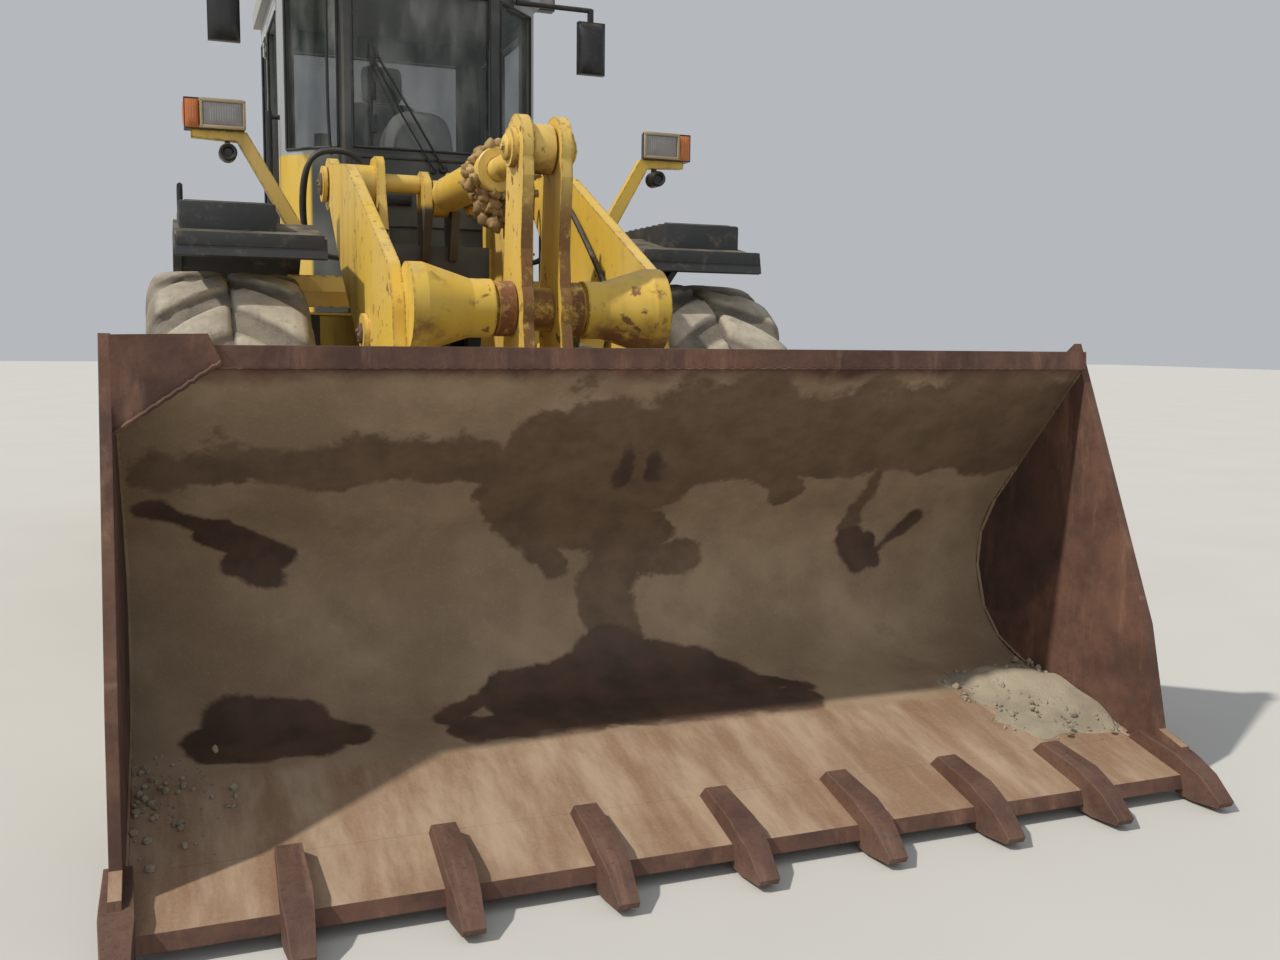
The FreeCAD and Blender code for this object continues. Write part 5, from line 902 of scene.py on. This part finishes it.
for s in (1, -1):
    found = on_skin((s * 0.6, -2.280, 2.180), (-s, 0, 0), ["lever"])
    if found:
        turned(bm, [(0, -0.004), (0.052, -0.004), (0.052, 0.012), (0.044, 0.018), (0, 0.018)], found[0], (s, 0, 0), 28)
        bolt(bm, found[0] + Vector((s * 0.017, 0, 0)), (s, 0, 0), 0.015)
piece("lever_pin_caps", bm, m_linkage, "lever_body")

# ---- tilt cylinder: clods caked on the head, valve blocks with unions and pipes along the barrel
BARREL_Y = (-1.640, -0.640)
BARREL_Z = 2.1775
bm = bmesh.new()
lumps = random.Random(5)


def lump(bm, place, size):
    """A caked lump: a small ball pulled out of shape."""
    for v in bmesh.ops.create_icosphere(bm, subdivisions=2, radius=1)["verts"]:
        pull = 1 + 0.55 * noise.noise(v.co * 1.3 + Vector(place) * 31) + 0.25 * noise.noise(v.co * 3.1 + Vector(place) * 17)
        v.co = Vector(place) + v.co * size * pull


for k in range(120):
    a = lumps.uniform(-math.pi, math.pi)
    reach = lumps.uniform(0.094, 0.112)
    y = BARREL_Y[0] + 0.012 + (0.17 + 0.10 * (math.sin(a) < 0)) * lumps.random() ** 1.3
    lump(bm, (reach * math.cos(a), y, BARREL_Z + reach * math.sin(a)), lumps.uniform(0.016, 0.030))
for k in range(46):
    lump(bm, (lumps.uniform(-0.060, 0.110), lumps.uniform(-1.600, -1.440), lumps.triangular(1.915, 2.085, 2.05)), lumps.uniform(0.020, 0.034))
piece("tilt_head_clods", bm, m_clods, "tilt_barrel_body", 70)
bm = bmesh.new()
VALVE_BLOCKS = [((0.040, -1.615, 2.040), (0.150, -1.455, 2.205), 0.014), ((0.105, -1.595, 2.130), (0.178, -1.500, 2.200), 0.012),
                ((0.020, -1.590, 1.950), (0.120, -1.470, 2.060), 0.016), ((0.060, -1.560, 1.880), (0.135, -1.480, 1.965), 0.014),
                ((-0.045, -1.575, 2.035), (0.045, -1.470, 2.095), 0.012), ((0.075, -1.430, 2.060), (0.140, -1.340, 2.130), 0.012)]
for low, high, bevel in VALVE_BLOCKS:
    block(bm, low, high, bevel)
# each union: place, direction, radius
UNIONS = [((0.150, -1.560, 2.085), (1, -0.3, 0.1), 0.026), ((0.175, -1.550, 2.165), (1, -0.2, 0.3), 0.022),
          ((0.120, -1.530, 2.000), (1, -0.4, -0.3), 0.026), ((0.070, -1.590, 2.010), (0, -1, -0.1), 0.024),
          ((0.100, -1.615, 2.150), (0.2, -1, 0.1), 0.026), ((0.095, -1.520, 1.885), (0.2, -0.1, -1), 0.024),
          ((0.030, -1.540, 1.955), (-0.3, -0.3, -1), 0.022), ((0.135, -1.520, 1.925), (1, -0.3, -0.2), 0.020),
          ((0.100, -1.520, 2.200), (0.2, 0, 1), 0.022), ((0.105, -1.340, 2.095), (0.1, 1, 0), 0.022)]
for place, direction, radius in UNIONS:
    turned(bm, [(0, -0.01), (radius, -0.01), (radius, radius), (radius * 0.74, radius * 1.2), (radius * 0.74, radius * 2.3), (0, radius * 2.4)],
           place, direction, 6)
block(bm, (0.068, -0.720, 2.105), (0.140, -0.640, 2.185), 0.010)
turned(bm, [(0, 0), (0.024, 0), (0.024, 0.026), (0.017, 0.030), (0.017, 0.055), (0, 0.056)], (0.110, -0.680, 2.108), (0, 0, -1), 6)
piece("tilt_valve", bm, m_brown, "tilt_barrel_body")
bm = bmesh.new()
tube(bm, [(0.105, -1.345, 2.095), (0.112, -1.280, 2.100), (0.118, -1.200, 2.110), (0.118, -0.760, 2.125), (0.110, -0.700, 2.130)], 0.014, 12)
tube(bm, [(0.060, -1.480, 2.060), (0.060, -1.380, 2.058), (0.060, -0.800, 2.066), (0.075, -0.700, 2.085), (0.090, -0.660, 2.110)], 0.012, 12)
for y in (-1.15, -0.90):
    block(bm, (0.094, y - 0.014, 2.094), (0.140, y + 0.014, 2.146), 0.008)
    block(bm, (0.042, y - 0.014, 2.046), (0.080, y + 0.014, 2.086), 0.008)
piece("tilt_pipes", bm, m_yellow, "tilt_barrel_body")

# ---- hoses clamped to the tower and along the boom's right arm
for s in (1, -1):
    side_name = "left" if s > 0 else "right"
    hose(f"tower_hose_{side_name}", [(s * 0.335, -0.42, 2.06), (s * 0.400, -0.46, 2.16), (s * 0.450, -0.50, 2.250), (s * 0.440, -0.54, 2.10),
                                     (s * 0.395, -0.52, 1.95), (s * 0.330, -0.48, 1.84)], 0.014, "front_body")
    hose(f"tower_hose_low_{side_name}", [(s * 0.322, -0.58, 1.98), (s * 0.345, -0.60, 1.92), (s * 0.348, -0.58, 1.80), (s * 0.345, -0.54, 1.68),
                                         (s * 0.322, -0.50, 1.60)], 0.013, "front_body")
for s in (1, -1):
    side_name = "left" if s > 0 else "right"
    for k, y in enumerate((-0.215, -0.180, -0.145)):
        foot = on_skin((s * 0.62, y, 1.84 + 0.03 * k), (-s, 0, 0), ["front_frame"])
        head = on_skin((s * 0.48, y - 0.01, 2.32), (-s, 0, 0), ["front_frame"])
        if foot and head:
            hose(f"pivot_hose_{side_name}_{k}",
                 [foot[0], (s * 0.50, y, 1.84), (s * 0.67, y + 0.01, 1.88), (s * (0.715 - 0.012 * k), y, 2.05),
                  (s * (0.705 - 0.012 * k), y, 2.28), (s * 0.640, y, 2.405 + 0.012 * k), (s * 0.50, y, 2.425 + 0.012 * k),
                  (s * 0.40, y, 2.390), head[0]], 0.015, "front_body")
hose("arm_hose", [(0.528, -1.02, 2.10), (0.512, -1.10, 2.08), (0.508, -1.30, 1.95), (0.508, -1.50, 1.80), (0.512, -1.66, 1.66),
                  (0.528, -1.72, 1.58)], 0.013, "boom_body")
hose("pole_cable", [(-0.515, 0.083, 2.44), (-0.530, 0.076, 2.60), (-0.532, 0.070, 3.00), (-0.530, 0.078, 3.34), (-0.520, 0.085, 3.44)], 0.009,
     "rear_body")

# ---- bucket: weld runs, the lip's welded strip, loose sand and stones on the floor
HALF_INSIDE = 1.555


def weld(bm, points, radius):
    """A rippled weld run along straight legs."""
    points = [Vector(p) for p in points]
    for start, end in zip(points, points[1:]):
        count = max(2, int((end - start).length / 0.012))
        run = [start.lerp(end, k / count) + Vector((0, 0, 1)) * (0.0015 * math.sin(k * 2.1) + noise.noise(start * 3 + Vector((k, 0, 0))) * 0.002)
               for k in range(count + 1)]
        tube(bm, run, radius, 6)


bm = bmesh.new()
weld(bm, [(-HALF_INSIDE, -3.692, 1.343), (HALF_INSIDE, -3.692, 1.343)], 0.007)
weld(bm, [(-HALF_INSIDE - 0.002, -3.7215, 1.172), (-1.288, -3.7215, 1.358)], 0.007)
for s in (1, -1):
    weld(bm, [(s * 1.553, -3.680, 1.338), (s * 1.553, -3.240, 0.832), (s * 1.553, -3.160, 0.690), (s * 1.553, -3.147, 0.560),
              (s * 1.553, -3.200, 0.400), (s * 1.553, -3.300, 0.300), (s * 1.553, -3.430, 0.248), (s * 1.553, -3.990, 0.133)], 0.007)
piece("bucket_welds", bm, m_bucket, "bucket_body", 60)

FLOOR_SLOPE = 0.2038


def floor_z(y):
    return 0.0755 + FLOOR_SLOPE * (y + 4.262)


def drift(bm, x_span, y_span, height, seed):
    """A low heap of sand that runs out to nothing at its rim."""
    steps = 36
    grid = []
    for i in range(steps + 1):
        row = []
        for j in range(steps + 1):
            x = x_span[0] + (x_span[1] - x_span[0]) * i / steps
            y = y_span[0] + (y_span[1] - y_span[0]) * j / steps
            u, v = i / steps, j / steps
            near = noise.noise(Vector((x * 3, y * 3, seed))) * 0.5 + noise.noise(Vector((x * 14, y * 14, seed))) * 0.18
            mass = step01(u * 1.7 - 0.35 + near * 0.9) * step01(1.9 * (1 - abs(2 * v - 1)) - 0.2 + near * 1.1)
            rim = min(1, 6 * u, 3 * v, 6 * (1 - v))
            row.append(bm.verts.new((x, y, floor_z(y) - 0.003 + mass * rim * height * (0.7 + near))))
        grid.append(row)
    for i in range(steps):
        for j in range(steps):
            bm.faces.new((grid[i][j], grid[i + 1][j], grid[i + 1][j + 1], grid[i][j + 1]))
    rim_verts = ([grid[i][0] for i in range(steps)] + [grid[steps][j] for j in range(steps)]
                 + [grid[i][steps] for i in range(steps, 0, -1)] + [grid[0][j] for j in range(steps, 0, -1)])
    foot = [bm.verts.new(v.co - Vector((0, 0, 0.004))) for v in rim_verts]
    for k in range(len(foot)):
        bm.faces.new((rim_verts[k - 1], rim_verts[k], foot[k], foot[k - 1]))
    bm.faces.new(foot)


bm = bmesh.new()
drift(bm, (1.05, 1.552), (-4.06, -3.42), 0.052, 1.0)
stones = random.Random(11)
for k in range(420):
    x = 1.545 - 0.42 * stones.random() ** 1.6 if k % 4 else -1.54 + 0.26 * stones.random() ** 1.5
    y = stones.triangular(-4.06, -3.45, -3.62)
    size = 0.0030 + 0.011 * stones.random() ** 3
    made = bmesh.ops.create_icosphere(bm, subdivisions=1, radius=size)["verts"]
    for v in made:
        v.co = v.co * stones.uniform(0.75, 1.2) + Vector((x, y, floor_z(y) + size * 0.45 + (0.014 if x > 1.3 else 0.0)))
piece("loose_sand", bm, m_sand, "bucket_body", 30)

# ---- hood, doors and grille fittings
for name, s in sides("hood_door"):
    bm = bmesh.new()
    for y in (2.10, 3.18):
        turned(bm, [(0, -0.004), (0.028, -0.004), (0.028, 0.006), (0.022, 0.010), (0.010, 0.010), (0.010, 0.006), (0, 0.006)],
               (s * 0.720, y, 1.940), (s, 0, 0), 24)
    tube(bm, [(s * 0.716, 2.56, 1.930), (s * 0.755, 2.57, 1.930), (s * 0.758, 2.64, 1.930), (s * 0.755, 2.71, 1.930), (s * 0.716, 2.72, 1.930)],
         0.009, 10)
    piece(f"{name}_latches", bm, m_black, BODY_OF[name])
bm = bmesh.new()
tube(bm, [(-0.470, 3.976, 1.80), (-0.470, 4.015, 1.81), (-0.470, 4.018, 1.90), (-0.470, 4.015, 1.99), (-0.470, 3.976, 2.00)], 0.010, 10)
for z in (1.60, 2.20):
    for x in (-0.45, 0.0, 0.45):
        bolt(bm, (x, 3.980, z), (0, 1, 0), 0.010)
piece("grille_handle", bm, m_black, "rear_grille_body")
bm = bmesh.new()
for s in (1, -1):
    for y in (1.80, 2.60, 3.40, 3.90):
        found = on_skin((s * 1.2, y, 1.80), (-s, 0, 0), ["hood"])
        if found and found[1].x * s > 0.7:
            bolt(bm, found[0], (s, 0, 0), 0.012)
for s in (1, -1):
    for z in (0.85, 1.10, 1.36):
        found = on_skin((s * 2.0, 4.05, z), (-s, 0, 0), ["counterweight"])
        if found and found[1].x * s > 0.7:
            bolt(bm, found[0], (s, 0, 0), 0.022)
piece("body_bolts", bm, m_bolt, "rear_body")

# ---- stage, light and camera
floor_mesh = bpy.data.meshes.new("floor")
bm = bmesh.new()
bmesh.ops.create_grid(bm, x_segments=1, y_segments=1, size=60)
bm.to_mesh(floor_mesh)
bm.free()
floor = bpy.data.objects.new("floor", floor_mesh)
floor.location.z = -0.001
scene.collection.objects.link(floor)
floor_look = Tree("pale_floor")
floor_look.bump(floor_look.noise(25, 4), 0.1, 0.002, 0)
floor_mesh.materials.append(floor_look.done(
    floor_look.mix(floor_look.noise(0.8, 4), (0.50, 0.49, 0.46), (0.56, 0.55, 0.52)), 0.9))

world = bpy.data.worlds.new("studio")
scene.world = world
world.use_nodes = True
world.node_tree.nodes["Background"].inputs[0].default_value = (0.84, 0.88, 0.93, 1)
world.node_tree.nodes["Background"].inputs[1].default_value = 0.55


def sun(name, direction, strength, angle, color):
    """A soft sun that shines from a direction."""
    data = bpy.data.lights.new(name, "SUN")
    data.energy, data.angle, data.color = strength, math.radians(angle), color
    lamp = bpy.data.objects.new(name, data)
    lamp.rotation_mode = "QUATERNION"
    lamp.rotation_quaternion = Vector(direction).to_track_quat("Z", "Y")
    scene.collection.objects.link(lamp)


sun("key", (-0.65, -0.08, 0.755), 3.1, 1.8, (1.0, 0.95, 0.87))
sun("fill", (-0.25, -0.9, 0.35), 0.45, 60, (0.95, 0.97, 1.0))

camera = bpy.data.objects.new("camera", bpy.data.cameras.new("camera"))
scene.collection.objects.link(camera)
scene.camera = camera
camera.data.lens, camera.data.sensor_width = 34.17, 36.0
yaw, pitch, roll = 0.3725, 0.1158, 0.0111
ahead = Vector((math.sin(yaw) * math.cos(pitch), math.cos(yaw) * math.cos(pitch), -math.sin(pitch)))
side = Vector((math.cos(yaw), -math.sin(yaw), 0))
over = side.cross(ahead)
right = side * math.cos(roll) + over * math.sin(roll)
above = over * math.cos(roll) - side * math.sin(roll)
camera.matrix_world = Matrix.Translation((-1.4258, -7.083, 1.4298)) @ Matrix((right, above, -ahead)).transposed().to_4x4()
camera.data.clip_end = 300
scene.view_settings.view_transform = "Standard"
